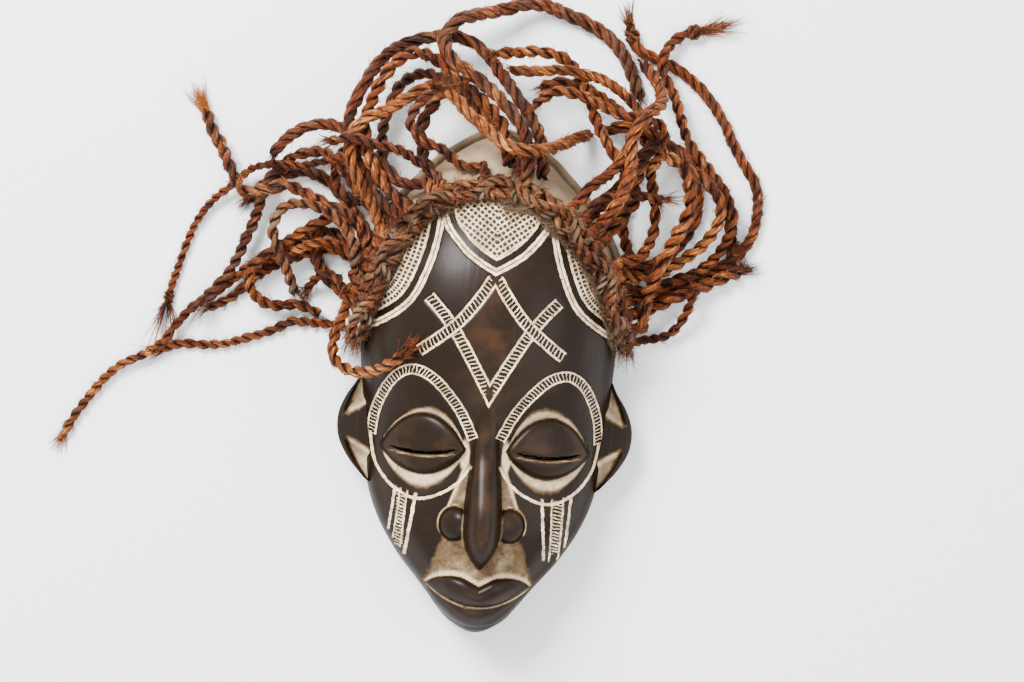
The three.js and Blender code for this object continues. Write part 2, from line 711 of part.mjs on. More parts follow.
    line: [
      [-82.5, 57], [-81, 66], [-82.5, 75], [-86, 82], [-90, 87], [-96, 92], [-103, 96], [-111, 98],
      [-119, 98], [-126, 95], [-130, 89], [-131, 82], [-129, 75], [-126, 67], [-122, 59], [-119, 51],
      [-117, 45],
    ],
  },
  {
    name: "rope_left_small_curl",
    d: 6,
    line: [
      [-86.6, 44.2], [-89, 52], [-94, 58], [-100, 59], [-106, 53], [-111, 47],
    ],
  },
];

// The top of the wood at a true place: the face, its flange and its ears
function woodTop(x, y) {
  const a = Math.abs(x) / across;
  const d = y / along;
  let top = faceHeight(a, d) * deep;
  if (d > flangeStart && a < halfWidth(d) + flangeWidth / across) top = Math.max(top, flangeHeight);
  const fromCrownEnd = Math.hypot(x, y - crownEnd * along);
  if (d >= crownEnd && fromCrownEnd < flangeWidth * 2) top = Math.max(top, flangeHeight);
  if (d > ear.low && d < ear.high && a < earEdge(d)) top = Math.max(top, earTop(a, d) * deep);
  return top;
}

// The height at which a rope's centre clears the floor and the wood
function overWood(x, y, reach) {
  let height = reach;
  for (const share of [0, 0.5, 0.8, 0.97]) {
    for (let k = 0; k < (share ? 12 : 1); k++) {
      const angle = (Math.PI * k) / 6;
      const top = woodTop(x + reach * share * Math.cos(angle), y + reach * share * Math.sin(angle));
      if (top > 0) height = Math.max(height, top + reach * Math.sqrt(1 - share * share));
    }
  }
  return height;
}

// The height at which a rope's centre clears the ropes that lie there already
function overRopes(x, y, radius, laid) {
  let height = 0;
  for (const rope of laid) {
    const reach = (radius + rope.radius) * contactShare;
    for (let k = 1; k < rope.nodes.length; k++) {
      const [a, b] = [rope.nodes[k - 1], rope.nodes[k]];
      const [dx, dy] = [b.x - a.x, b.y - a.y];
      const t = Math.min(1, Math.max(0, ((x - a.x) * dx + (y - a.y) * dy) / (dx * dx + dy * dy)));
      const gap = Math.hypot(x - a.x - t * dx, y - a.y - t * dy);
      const steep = Math.sqrt(1 + (b.z - a.z) ** 2 / (dx * dx + dy * dy));
      if (gap >= reach) continue;
      height = Math.max(height, a.z + t * (b.z - a.z) + steep * Math.sqrt(reach * reach - gap * gap));
    }
  }
  return height;
}

// Points along a plan line, a step apart
function spaced(line, step) {
  const curve = new THREE.SplineCurve(line.map(([x, y]) => new THREE.Vector2(x, y)));
  curve.arcLengthDivisions = 20 * line.length;
  return curve.getSpacedPoints(Math.round(curve.getLength() / step));
}

// Lays a rope down on the wood and on the ropes before it. It sags by its weight, its stiffness
// evens it out, and it is lifted again wherever it would sink into what carries it.
const settleRounds = 400;
const settleProbes = 5; // places tested between two points
const stiffness = 0.3;
const sag = 0.12;
function settle(plan, radius, laid) {
  const probes = [];
  for (let k = 1; k < plan.length; k++) {
    for (let n = 0; n < settleProbes; n++) {
      const t = n / settleProbes;
      const place = plan[k - 1].clone().lerp(plan[k], t);
      const floor = Math.max(overWood(place.x, place.y, radius), overRopes(place.x, place.y, radius, laid));
      probes.push({ k, t, floor });
    }
  }
  const z = plan.map((p) => Math.max(overWood(p.x, p.y, radius), overRopes(p.x, p.y, radius, laid)));
  const support = [...z];
  for (let round = 0; round < settleRounds; round++) {
    const before = [...z];
    for (let k = 1; k < z.length - 1; k++) {
      z[k] += stiffness * ((before[k - 1] + before[k + 1]) / 2 - before[k]) - sag;
    }
    z[z.length - 1] -= sag;
    for (let k = 0; k < z.length; k++) z[k] = Math.max(z[k], support[k]);
    for (const { k, t, floor } of probes) {
      const lack = floor - (1 - t) * z[k - 1] - t * z[k];
      if (lack <= 0) continue;
      const share = (1 - t) ** 2 + t ** 2;
      z[k - 1] += (lack * (1 - t)) / share;
      z[k] += (lack * t) / share;
    }
  }
  return plan.map((p, k) => new THREE.Vector3(p.x, p.y, z[k]));
}

// The plan line beside the hairline, so far out from the face
function besideHairline(out) {
  const plan = spaced(hairline, nodeStep);
  return plan.map((p, k) => {
    const before = plan[Math.max(0, k - 1)];
    const after = plan[Math.min(plan.length - 1, k + 1)];
    const normal = new THREE.Vector2(before.y - after.y, after.x - before.x).normalize();
    return [p.x + normal.x * out, p.y + normal.y * out];
  });
}

function tube(nodes, radius) {
  const path = new THREE.CatmullRomCurve3(nodes);
  const section = new THREE.Shape();
  section.absarc(0, 0, radius, 0, 2 * Math.PI);
  const steps = nodes.length - 1;
  const curveSegments = tubeSides / 2; // the arc is drawn in two halves
  return new THREE.ExtrudeGeometry(section, { steps, curveSegments, extrudePath: path, bevelEnabled: false });
}

const wood = new THREE.MeshStandardMaterial({ color: 0x2e211a, roughness: 0.42, metalness: 0 });
const hairlineFibre = new THREE.MeshStandardMaterial({ color: 0x6b4a34, roughness: 0.95, metalness: 0 });
const ropeFibre = new THREE.MeshStandardMaterial({ color: 0x8a4523, roughness: 0.9, metalness: 0 });

function named(name, geometry, material) {
  const mesh = new THREE.Mesh(geometry, material);
  mesh.name = name;
  return mesh;
}

const laid = [];
function layRope(name, line, diameter, material) {
  const radius = diameter / 2;
  const nodes = settle(spaced(line, nodeStep), radius, laid);
  laid.push({ radius, nodes });
  return named(name, tube(nodes, radius * tubeShare), material);
}

const mask = new THREE.Group();
mask.add(named("carved_mask", geometryOf(woodenMask()), wood));
mask.add(layRope("hairline_rope_inner", besideHairline(-strandDiameter / 2), strandDiameter, hairlineFibre));
mask.add(layRope("hairline_rope_outer", besideHairline(strandDiameter / 2), strandDiameter, hairlineFibre));
for (const { name, d, line } of freeRopes) {
  mask.add(layRope(name, line, d, ropeFibre));
}

export default mask;
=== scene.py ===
# A carved wooden face mask with a wig of twisted fibre ropes, lying face up on a pale floor.
# Shapes are worked out in millimetres and made in metres. +X is the viewer's right, +Y runs from
# chin to crown and +Z from the back rim to the nose.
import math

import bpy
import numpy as np
from mathutils import Matrix, Vector


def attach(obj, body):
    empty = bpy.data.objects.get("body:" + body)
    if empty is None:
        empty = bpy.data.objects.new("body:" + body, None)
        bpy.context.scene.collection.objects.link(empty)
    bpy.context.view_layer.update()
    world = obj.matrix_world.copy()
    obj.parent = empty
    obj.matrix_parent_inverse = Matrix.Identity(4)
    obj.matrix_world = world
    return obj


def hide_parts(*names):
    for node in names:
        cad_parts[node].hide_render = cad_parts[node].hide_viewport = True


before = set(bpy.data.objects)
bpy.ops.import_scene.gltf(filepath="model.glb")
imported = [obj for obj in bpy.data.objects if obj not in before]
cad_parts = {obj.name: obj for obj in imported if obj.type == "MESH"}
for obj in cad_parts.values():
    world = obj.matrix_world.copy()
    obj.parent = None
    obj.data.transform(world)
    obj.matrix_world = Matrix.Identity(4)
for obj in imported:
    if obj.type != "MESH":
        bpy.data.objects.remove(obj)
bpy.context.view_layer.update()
scene = bpy.context.scene
MM = 0.001

# Camera: looks down on the mask, a little from the viewer's left, and is rolled a little
AIM = (14.1, 23.8, 0.0)
DISTANCE = 1600.0
LEFT_SHIFT = 56.0
ROLL = math.radians(3.0)
LENS = 93.75


def make_camera():
    data = bpy.data.cameras.new("camera")
    data.lens = LENS
    data.sensor_width = 36.0
    data.clip_start = 0.05
    data.clip_end = 30.0
    camera = bpy.data.objects.new("camera", data)
    scene.collection.objects.link(camera)
    target = Vector(AIM) * MM
    eye = Vector((AIM[0] - LEFT_SHIFT, AIM[1], DISTANCE)) * MM
    forward = (target - eye).normalized()
    right = forward.cross(Vector((-math.sin(ROLL), math.cos(ROLL), 0.0))).normalized()
    up = right.cross(forward)
    turn = Matrix((right, up, -forward)).transposed().to_4x4()
    camera.matrix_world = Matrix.Translation(eye) @ turn
    scene.camera = camera


make_camera()

# Driving dimensions of the mask, as in the solids
WALL = 9.0
ROOF = 15.0
MASK_LENGTH = 302.0
MASK_WIDTH = 153.0
MASK_DEPTH = 87.0
FLANGE_WIDTH = 5.0
FLANGE_HEIGHT = 6.0
FLANGE_START = 18.0
EAR_REACH = 11.0
EAR_BOTTOM = 5.0
SLIT_LENGTH = 38.0
SLIT_HEIGHT = 1.8
SECTION_POWER = 2.3
FULL_RELIEF_HEIGHT = 15.0
CHIN_END = -151.0
CROWN_END = 146.0

OUTLINE = [
    (CHIN_END, 0), (-144, 15.5), (-136, 23.5), (-127, 30.5), (-118, 38), (-108, 46.5), (-98, 53.5),
    (-87, 60), (-75, 65.2), (-62, 68.8), (-45, 71), (-25, 73), (-2, 75), (20, 76.4), (45, 76.5),
    (67, 74), (86, 67), (99, 59.5), (110, 51), (120.5, 41), (132.5, 28), (CROWN_END, 0),
]
CREST = [
    (CHIN_END, 0), (-149.5, 22), (-145, 39), (-134, 53), (-119, 61), (-98, 64), (-75, 66), (-50, 69),
    (-25, 75), (0, 81), (30, 86), (58, 86), (82, 80), (102, 69.5), (118, 55.5), (131.5, 39),
    (142, 19.5), (CROWN_END, 0),
]


def unit(vectors):
    return vectors / np.linalg.norm(vectors, axis=-1)[..., None]


def left_of(line):
    """Vectors to the left of a plan line at each of its points, not yet of unit length."""
    before = line[np.maximum(np.arange(len(line)) - 1, 0)]
    after = line[np.minimum(np.arange(len(line)) + 1, len(line) - 1)]
    return np.column_stack([before[:, 1] - after[:, 1], after[:, 0] - before[:, 0]])


def spline_at(points, t):
    """Points of a smooth curve through the given ones, where t runs from 0 to 1."""
    pts = np.asarray(points, float)
    last = len(pts) - 1
    place = np.asarray(t, float) * last
    i = np.clip(np.floor(place).astype(int), 0, last)
    w = (place - i)[:, None]
    p0, p1 = pts[np.maximum(i - 1, 0)], pts[i]
    p2, p3 = pts[np.minimum(i + 1, last)], pts[np.minimum(i + 2, last)]
    v0, v1 = (p2 - p0) / 2, (p3 - p1) / 2
    return (2 * p1 - 2 * p2 + v0 + v1) * w**3 + (3 * p2 - 3 * p1 - 2 * v0 - v1) * w**2 + v0 * w + p1


def round_ended(points, per_step):
    """Samples of a smooth curve with round ends on the axis."""
    first, last = points[1], points[-2]
    line = [(first[0], -first[1]), *points, (last[0], -last[1])]
    spans = len(line) - 1
    k = np.arange(per_step, (spans - 1) * per_step + 1)
    return spline_at(line, k / (spans * per_step))


OUTLINE_SAMPLES = round_ended(OUTLINE, 16)
CREST_SAMPLES = round_ended(CREST, 16)


def look_up(samples, a):
    return np.interp(a, samples[:, 0], samples[:, 1], left=0.0, right=0.0)


def half_width(y):
    return look_up(OUTLINE_SAMPLES, y)


def hill(q):
    """A smooth hill: 1 in the middle, and 0 from q = 1 outwards."""
    return np.where(q < 1, (1 - np.minimum(q, 1) ** 2) ** 2, 0.0)


def boss(q):
    """A rounded boss with a crisp foot: 1 in the middle, and 0 from q = 1 outwards."""
    return np.sqrt(np.clip(1 - q * q, 0, 1))


def bell(value, middle, width):
    return np.exp(-(((value - middle) / width) ** 2))


def smooth(value, low, high):
    """0 below low, 1 above high and smooth between them."""
    t = np.clip((value - low) / (high - low), 0, 1)
    return t * t * (3 - 2 * t)


def band(value, low_start, low_end, high_start, high_end):
    """1 between the two smooth edges, and 0 outside them."""
    return smooth(value, low_start, low_end) * (1 - smooth(value, high_start, high_end))


# The eye: a hollow, with a closed lid that bulges out of it
EYE_X, EYE_Y, EYE_HALF, EYE_UPPER, EYE_LOWER, LID_HEIGHT = 36.4, -40.3, 25.0, 20.0, 14.2, 10.5
SOCKET_X, SOCKET_Y, SOCKET_RADIUS, SOCKET_DEPTH = 37.5, -36.0, 33.0, 8.5


def lid_place(a, y):
    """0 at the middle of the lid, 1 on its edge and more outside."""
    t = np.clip((a - EYE_X) / EYE_HALF, -1, 1)
    arch = np.maximum((1 - t * t) ** 0.85, 1e-4)
    return np.abs(y - EYE_Y) / (arch * np.where(y > EYE_Y, EYE_UPPER, EYE_LOWER))


def eye_relief(a, y):
    hollow = -SOCKET_DEPTH * hill(np.hypot(a - SOCKET_X, y - SOCKET_Y) / SOCKET_RADIUS)
    t = np.clip((a - EYE_X) / EYE_HALF, -1, 1)
    return hollow + LID_HEIGHT * boss(lid_place(a, y)) * np.sqrt(1 - t * t)


# The nose: a narrow ridge that widens to a drop-shaped tip, with a round wing on each side
NOSE_WIDTHS = [
    (-109, 0), (-104.5, 4.4), (-99, 7.9), (-92, 10.3), (-82, 11), (-70, 10.3), (-57, 9.2), (-42, 7.6),
    (-30, 6.6), (-22, 5), (-12, 0),
]
NOSE_HEIGHTS = [
    (-109, 0), (-105, 15), (-99, 20.5), (-92, 21.5), (-82, 19), (-70, 15.5), (-57, 11.5), (-42, 7),
    (-30, 3), (-22, 1.4), (-12, 0),
]
NOSE_WIDTH_SAMPLES = round_ended(NOSE_WIDTHS, 12)
NOSE_HEIGHT_SAMPLES = round_ended(NOSE_HEIGHTS, 12)
# Place, half width, half length and height of a wing, the nose's flank and the cheek
WING = (16.0, -83.0, 8.8, 10.0, 8.5)
FLANK = (0.0, -74.0, 22.0, 34.0, 6.0)
CHEEK = (42.0, -86.0, 24.0, 26.0, 3.0)


def mound(form, place, a, y):
    """A hill or a boss on the face, by its place, half width, half length and height."""
    x0, y0, across, along, height = place
    return height * form(np.minimum(np.hypot((a - x0) / across, (y - y0) / along), 1))


def nose_relief(a, y):
    half = look_up(NOSE_WIDTH_SAMPLES, y)
    q = np.where(half > 0, a / np.maximum(half, 1e-6), 2.0)
    ridge = np.where(q < 1, look_up(NOSE_HEIGHT_SAMPLES, y) * (1 - np.minimum(q, 1) ** 2.4) ** 0.5, 0.0)
    wing = mound(boss, WING, a, y)
    return mound(hill, FLANK, a, y) + np.maximum(ridge, wing)


# The mouth: a full upper lip with a notch in it, over a lower lip that runs down to the chin
MOUTH_HALF, MOUTH_CORNER, MOUTH_SAG = 30.5, -120.0, 11.5
UPPER_LIP_HEIGHT, LOWER_LIP_DROP, LOWER_LIP_HEIGHT = 6.5, 13.0, 5.0
MOUTH_HOLLOW = (0.0, -104.0, 30.0, 14.0, -2.5)
LIP_TOP = [
    (0, -119.3), (5, -116.6), (10, -114.3), (17, -113.7), (24, -115.2), (28.5, -117.7), (30.5, -119.9),
]
LIP_TOP_SAMPLES = spline_at(LIP_TOP, np.linspace(0, 1, 37))


def mouth_line(a):
    return MOUTH_CORNER - MOUTH_SAG * (1 - (a / MOUTH_HALF) ** 2)


def upper_lip(a):
    return np.interp(a, LIP_TOP_SAMPLES[:, 0], LIP_TOP_SAMPLES[:, 1])


def mouth_relief(a, y):
    hollow = mound(hill, MOUTH_HOLLOW, a, y)
    q = np.minimum(a / MOUTH_HALF, 1)
    taper = (1 - q * q) ** 0.35
    line, top = mouth_line(a), upper_lip(a)
    bottom = line - LOWER_LIP_DROP * taper
    up = np.clip((y - line) / np.maximum(top - line, 0.01), 0, 1)
    down = np.clip((line - y) / np.maximum(line - bottom, 0.01), 0, 1)
    lips = UPPER_LIP_HEIGHT * np.clip(np.sin(math.pi * up), 0, 1) ** 0.45
    lips = lips + LOWER_LIP_HEIGHT * np.clip(np.sin(math.pi * down), 0, 1) ** 0.6
    return hollow + np.where(a < MOUTH_HALF, lips * taper, 0.0)


def shell_height(x, y):
    w = np.maximum(half_width(y), 1e-9)
    s = np.minimum(np.abs(x) / w, 1)
    return look_up(CREST_SAMPLES, y) * (1 - s**SECTION_POWER) ** (1 / SECTION_POWER)


def face_height(x, y):
    base = shell_height(x, y)
    a = np.abs(x)
    carving = eye_relief(a, y) + nose_relief(a, y) + mouth_relief(a, y) + mound(hill, CHEEK, a, y)
    return base + carving * np.minimum(1, base / FULL_RELIEF_HEIGHT)


# An ear: a rim that bows out from the temple, round two hollows with a pointed boss between them
EAR_LOW, EAR_HIGH, EAR_INNER, EAR_MIDDLE = -64.0, 4.0, 60.0, -31.0
EAR_RIM, EAR_SUNK, EAR_RISE = 23.0, 7.0, 12.0
EAR_BOW = [0, 0.42, 0.72, 0.93, 1, 0.94, 0.72, 0.36, 0]
EAR_STEP = (EAR_HIGH - EAR_LOW) / (len(EAR_BOW) - 1)
EAR_CURVE = round_ended([(EAR_LOW + EAR_STEP * k, share) for k, share in enumerate(EAR_BOW)], 8)


def ear_edge(y):
    face = half_width(y) - 3
    return face + (MASK_WIDTH / 2 + EAR_REACH - face) * np.maximum(0.02, look_up(EAR_CURVE, y))


def ear_raised(x, y):
    """0 in the hollows of the ear and 1 on its rim and its boss, with how far out x lies."""
    face = half_width(y)
    v = np.clip((x - face + 4) / (ear_edge(y) - face + 4), 0, 1)
    away = np.abs(y - EAR_MIDDLE) / (EAR_HIGH - EAR_MIDDLE)
    low, high = 0.12 + 0.3 * (1 - v), 0.3 + 0.34 * (1 - v)
    pointed = 1 - smooth(away, low, high)
    return np.maximum(smooth(v, 0.62, 0.86), pointed), v


def ear_top(x, y):
    raised, v = ear_raised(x, y)
    return EAR_RIM - EAR_SUNK * (1 - raised) + EAR_RISE * np.maximum(0, 0.35 - v)


# The ropes, as in the solids
STRAND_DIAMETER = 7.2
CONTACT_SHARE = 0.94
NODE_STEP = 14.0
HAIRLINE = [
    (-80, 20), (-76.5, 34), (-72, 46), (-67.5, 58), (-62, 70), (-55, 82), (-47, 93), (-36.5, 101.5),
    (-21, 108.5), (-4.5, 112), (10, 111), (24, 105.5), (35.5, 97), (46, 87), (55.5, 75.5),
    (64, 63), (70.5, 50), (76, 37), (80.5, 24),
]
# Frayed fibres: how many, how long and how spread
SHORT_FRAY = (20, 8.0, 0.4)
NOT_FRAYED = (0, 0, 0)
# Name, diameter, colour, strands, far end, frayed fibres and the plan line from the root
FREE_ROPES = (
    ("left_long_pair", 6, "red", 2, "bare", (24, 8.0, 0.4), (
        (-83, 67), (-93, 72), (-102, 73), (-112, 69), (-122, 65), (-131, 61), (-140, 55), (-148, 48),
        (-154, 42), (-161, 37), (-169, 34),
    )),
    ("left_cross_dark", 7.5, "dark", 3, "bare", (40, 10.0, 0.4), (
        (-75, 81), (-81, 91), (-89, 101), (-96, 110), (-106, 116), (-118, 119), (-129, 115), (-138, 110),
        (-147, 100),
    )),
    ("right_lower_arch", 7, "red", 2, "bare", SHORT_FRAY, (
        (82, 78), (78, 89), (77, 100), (79, 111), (83, 122), (87, 133), (89, 144), (84, 154), (75, 162),
        (64, 170), (53, 176), (42, 180), (32, 180), (23, 176),
    )),
    ("right_inner_hoop", 8, "red", 3, "bare", SHORT_FRAY, (
        (79, 70), (92, 72), (101, 77), (109, 84), (116, 94), (120, 104), (121, 117), (117, 127), (110, 138),
        (101, 145), (93, 151), (84, 155), (74, 156), (65, 153),
    )),
    ("crown_low_arc", 7, "dark", 2, "object", NOT_FRAYED, (
        (10.3, 123.8), (8, 133), (3, 142), (-4, 151), (-13, 159), (-22, 167), (-31, 174), (-41, 179),
        (-51, 179), (-59, 174), (-64, 166), (-67, 157), (-69.5, 148), (-70, 139), (-69, 130), (-67, 120),
        (-65, 111), (-63, 104),
    )),
    ("left_dark_arch", 7, "dark", 2, "bare", (24, 8.0, 0.4), (
        (-79, 66), (-84, 73), (-89, 79), (-96, 83), (-104, 84), (-112, 80), (-120, 75), (-128, 69),
        (-136, 64), (-144, 61),
    )),
    ("left_dark_drop", 8, "dark", 3, "bare", (30, 8.0, 0.4), (
        (-88, 47), (-93, 51), (-99, 57), (-104, 64), (-106, 72), (-106, 81), (-103, 89),
    )),
    ("left_inner_drop", 7, "dark", 2, "bare", (30, 9.0, 0.4), (
        (-65, 96), (-73, 100), (-82, 103), (-90, 105), (-96, 110), (-97, 118), (-95, 126), (-92, 133),
    )),
    ("crown_dark_lock", 8, "dark", 2, "bare", (60, 13.0, 0.45), (
        (-39, 117), (-43, 125), (-46, 134), (-47, 144), (-44, 154), (-39, 163), (-33, 172),
    )),
    ("right_mid_fall", 8, "dark", 3, "bare", (90, 17.0, 0.35), (
        (55, 100), (65, 110), (74, 121), (80, 131), (88, 140), (98, 144), (108, 141), (118, 134),
        (127, 125), (135, 116), (140, 106), (142, 96), (142, 88),
    )),
    ("left_low", 6, "red", 2, "bare", (40, 12.0, 0.35), (
        (-91.4, 28), (-105, 28.5), (-112, 29), (-118, 28.5), (-124, 25), (-133, 21.5), (-140, 19),
        (-148, 16.5), (-155, 14), (-163, 12.5), (-172, 12), (-180, 12.5), (-188, 11), (-195, 8),
    )),
    ("left_long", 6, "red", 2, "bare", (36, 12.0, 0.25), (
        (-78.8, 64.6), (-86, 71), (-92, 75), (-98, 77), (-104, 76), (-112, 73), (-122, 69), (-132, 66),
        (-140, 63), (-147, 59), (-153, 53), (-159, 47), (-166, 42), (-175, 36), (-183, 28), (-189, 19),
        (-195, 11), (-202, 6), (-210, 2), (-218, -2), (-224, -7), (-230, -14), (-236, -22), (-242, -31),
        (-248, -40), (-251, -47),
    )),
    ("left_loop", 7, "red", 2, "object", NOT_FRAYED, (
        (-102, 34), (-108, 37), (-114, 39), (-121, 38), (-129, 37.5), (-137, 40), (-143, 46), (-145, 54),
        (-141.5, 62), (-134, 68), (-124, 75), (-115, 81), (-106, 87), (-97, 91), (-88, 92), (-72, 78.7),
    )),
    ("left_climb", 7, "dark", 2, "bare", (40, 14.0, 0.5), (
        (-63.7, 92), (-73, 98), (-80, 105), (-86, 112), (-91, 119), (-97, 126), (-104, 130), (-112, 130),
        (-120, 127), (-128, 122), (-134, 115), (-138, 107), (-140, 99), (-142, 92), (-144, 85), (-147, 78),
        (-150, 70), (-153, 62), (-157, 54), (-163, 47), (-170, 40),
    )),
    ("left_thin", 5, "red", 2, "knot", (46, 14.0, 0.7), (
        (-54.2, 103.8), (-70, 112), (-78, 121), (-88, 126), (-99, 125), (-110, 122), (-119, 121),
        (-128, 121), (-137, 121), (-144, 119), (-150, 115), (-156, 109), (-162, 104), (-168, 99),
        (-173, 93), (-178, 85), (-182, 75), (-185, 65), (-188, 55), (-191, 45), (-193, 35),
    )),
    ("left_orange", 8, "dark", 2, "bare", (110, 17.0, 0.3), (
        (-75.6, 71.5), (-79, 86), (-85, 91), (-91, 95), (-98, 98), (-105, 100), (-112, 104), (-118, 107),
        (-124, 109), (-130, 108), (-136, 106), (-142, 104), (-149, 104), (-154, 109), (-158, 117),
        (-161, 124), (-165, 131), (-170, 139), (-174, 146), (-176, 152),
    )),
    ("left_arch", 7.5, "dark", 3, "bare", SHORT_FRAY, (
        (-42, 113.2), (-53, 111), (-59, 116), (-65, 120), (-71, 124), (-77, 129), (-82, 135), (-88, 141),
        (-95, 144), (-102, 146), (-110, 145), (-117, 143), (-123, 139), (-129, 133), (-134, 126),
    )),
    ("crown_outer_arc", 8, "dark", 3, "object", NOT_FRAYED, (
        (-70, 103), (-77, 112), (-83, 122), (-87, 132), (-89, 141), (-89, 150), (-87, 158), (-84, 165),
        (-81, 172), (-77, 179), (-72, 186), (-66, 192), (-59, 196), (-51, 199), (-43, 201), (-35, 202),
        (-27, 202), (-19, 199), (-13, 195), (-8, 189), (-3, 183), (2, 177), (7, 170), (12, 164), (16, 157),
        (20, 150), (23, 143), (24, 136), (25.2, 118.9),
    )),
    ("crown_inner_arc", 8, "red", 2, "object", NOT_FRAYED, (
        (-65, 109), (-72, 119), (-77, 129), (-79.5, 139), (-79.5, 148), (-77, 158), (-74, 167), (-70, 175),
        (-65, 182), (-59, 187.5), (-51, 190), (-43, 188), (-36, 183), (-30, 178), (-24, 173), (-18, 168),
        (-12, 163), (-6, 157), (-1, 151), (3, 144), (4.1, 124.3),
    )),
    ("big_arch", 8.5, "dark", 3, "bare", SHORT_FRAY, (
        (16.4, 122.3), (15, 139), (12, 147), (7, 154), (1, 161), (-6, 168), (-14, 175), (-22, 180),
        (-29, 185), (-35, 192), (-36, 201), (-32, 208), (-26, 212), (-19, 215), (-11, 217), (-4, 219),
        (2, 222), (10, 224), (18, 225), (26, 224), (34, 221), (42, 219), (49, 216), (56, 213), (63, 208),
        (69, 202), (74, 195), (77, 188), (80, 181), (83, 173),
    )),
    ("front_swag", 7.5, "orange", 3, "bare", SHORT_FRAY, (
        (-68, 85.5), (-72, 97), (-79, 108), (-85, 119), (-88, 131), (-86, 141), (-80, 148), (-73, 151),
        (-66, 155), (-60, 159), (-53, 164), (-46, 168), (-39, 169), (-32, 166), (-27, 161), (-21, 155),
        (-16, 151), (-10, 146), (-4, 141), (1, 137), (8, 134), (15, 133), (22, 134), (29, 136), (35, 139),
        (41, 143), (47, 147), (54, 150),
    )),
    ("crown_lock_left", 6.5, "dark", 2, "bare", (40, 12.0, 0.6), (
        (-8.8, 124.3), (-20, 123), (-26, 127), (-31, 131), (-37, 134), (-43, 136), (-49, 139), (-53, 145),
        (-53, 152), (-49, 158), (-44, 163), (-39, 168),
    )),
    ("crown_sweep_left", 6.5, "dark", 2, "bare", (30, 9.0, 0.5), (
        (-35.1, 116.3), (-45, 123), (-50, 127), (-56, 130), (-63, 132), (-70, 133), (-77, 134), (-84, 136),
        (-91, 137), (-100, 134),
    )),
    ("right_tall_arch", 7.5, "red", 2, "bare", SHORT_FRAY, (
        (64, 85.6), (72, 98), (78, 104), (81, 112), (80, 119), (75, 126), (70, 133), (65, 140), (60, 148),
        (56, 156), (53, 165), (50, 173), (46, 181), (40, 188), (33, 193), (25, 195), (17, 195), (9, 194),
        (1, 193), (-6, 192),
    )),
    ("right_inner_arch", 7, "red", 3, "bare", SHORT_FRAY, (
        (45.5, 105.4), (54, 116), (60, 121), (66, 126), (71, 132), (74, 139), (77, 146), (80, 154),
        (80, 162), (76, 169), (69, 173.5), (62, 178), (56, 181), (49, 183), (42, 183), (35, 184), (28, 185),
        (21, 184), (14, 182), (4, 183),
    )),
    ("right_weave", 7, "red", 2, "bare", (30, 10.0, 0.4), (
        (73.2, 72.6), (80, 73), (86, 77), (89, 81), (92, 87), (93, 94), (94, 101), (94, 108), (92, 115),
        (90, 122), (90, 129), (92, 135), (95.5, 141), (97, 148), (94, 154), (87, 157.5), (79, 158),
        (71, 159), (62, 162), (55, 166), (47, 169), (39, 171), (31, 171), (25, 168), (19, 163),
    )),
    ("right_outer", 7, "red", 3, "knot", (50, 13.0, 0.5), (
        (83.8, 51.9), (98, 53), (108, 58), (117, 62), (124, 66), (131, 70), (138, 75), (144, 80), (150, 85),
        (154, 92), (156, 99), (157, 107), (157, 115), (156, 123), (152, 131), (147, 138), (142, 146),
        (138, 154), (134, 162), (129, 169), (124, 176), (118, 182), (112, 187), (106, 191), (100, 194),
        (93, 197), (86, 199), (80, 203), (76, 210), (75, 217),
    )),
    ("right_dark_end", 8, "red", 2, "bare", (46, 14.0, 0.25), (
        (87, 44.4), (101, 50), (109, 54.5), (117, 58.5), (125, 61.5), (133, 65), (141, 69.5), (150, 73),
    )),
    ("right_brush", 7, "red", 2, "knot", (80, 24.0, 0.28), (
        (80.6, 58.8), (94, 57), (103, 62), (111, 66), (119, 69), (126, 73), (132, 79), (137, 86), (140, 93),
        (142, 101), (141, 110), (136, 118), (130, 126), (124, 133), (118, 140), (113, 147), (109, 155),
        (107, 163), (105, 170), (102, 177), (98, 184), (95, 191), (96, 199), (99, 206), (105, 211),
        (112, 214), (120, 216),
    )),
    ("right_hoop", 7.5, "orange", 2, "bare", (24, 8.0, 0.4), (
        (77.1, 65.8), (86, 65), (94, 67), (100, 69), (106, 73), (112, 77), (119, 82), (125, 88), (130, 95),
        (133, 104), (132, 112), (128, 119), (121, 125), (113, 129), (105, 133), (97, 137),
    )),
    ("right_thick", 9, "red", 2, "bare", SHORT_FRAY, (
        (90.1, 35.9), (91, 48), (93, 55), (95, 62), (97, 69), (100, 76), (104, 83), (107, 90), (110, 97),
        (113, 105), (114, 113), (112, 120), (110, 127), (107, 133),
    )),
    ("right_low", 6, "red", 2, "bare", (20, 7.0, 0.5), (
        (92.8, 28.3), (101, 30), (108, 33), (113, 38), (116, 44), (119, 51), (120, 58),
    )),
    ("right_inner_end", 6.5, "dark", 2, "bare", (40, 11.0, 0.5), (
        (52, 99.2), (59, 108), (65, 111), (71, 112), (77, 112), (84, 112), (91, 112), (98, 111),
    )),
    ("right_blunt", 8, "red", 3, "bare", (26, 7.0, 0.5), (
        (58.7, 92), (69, 106), (73, 115), (76, 125), (76, 135), (76, 145), (79, 153), (85, 160), (92, 166),
        (95, 173), (92, 181), (87, 187), (84, 194),
    )),
    ("left_fringe", 7, "orange", 2, "bare", (70, 17.0, 0.32), (
        (-84.1, 50.8), (-85, 40), (-93, 14), (-88, 6), (-80, 2), (-72, 1), (-65, 3), (-58, 7), (-50, 13),
    )),
    ("left_curl", 7, "dusty", 2, "bare", (30, 9.0, 0.5), (
        (-82.5, 57), (-81, 66), (-82.5, 75), (-86, 82), (-90, 87), (-96, 92), (-103, 96), (-111, 98),
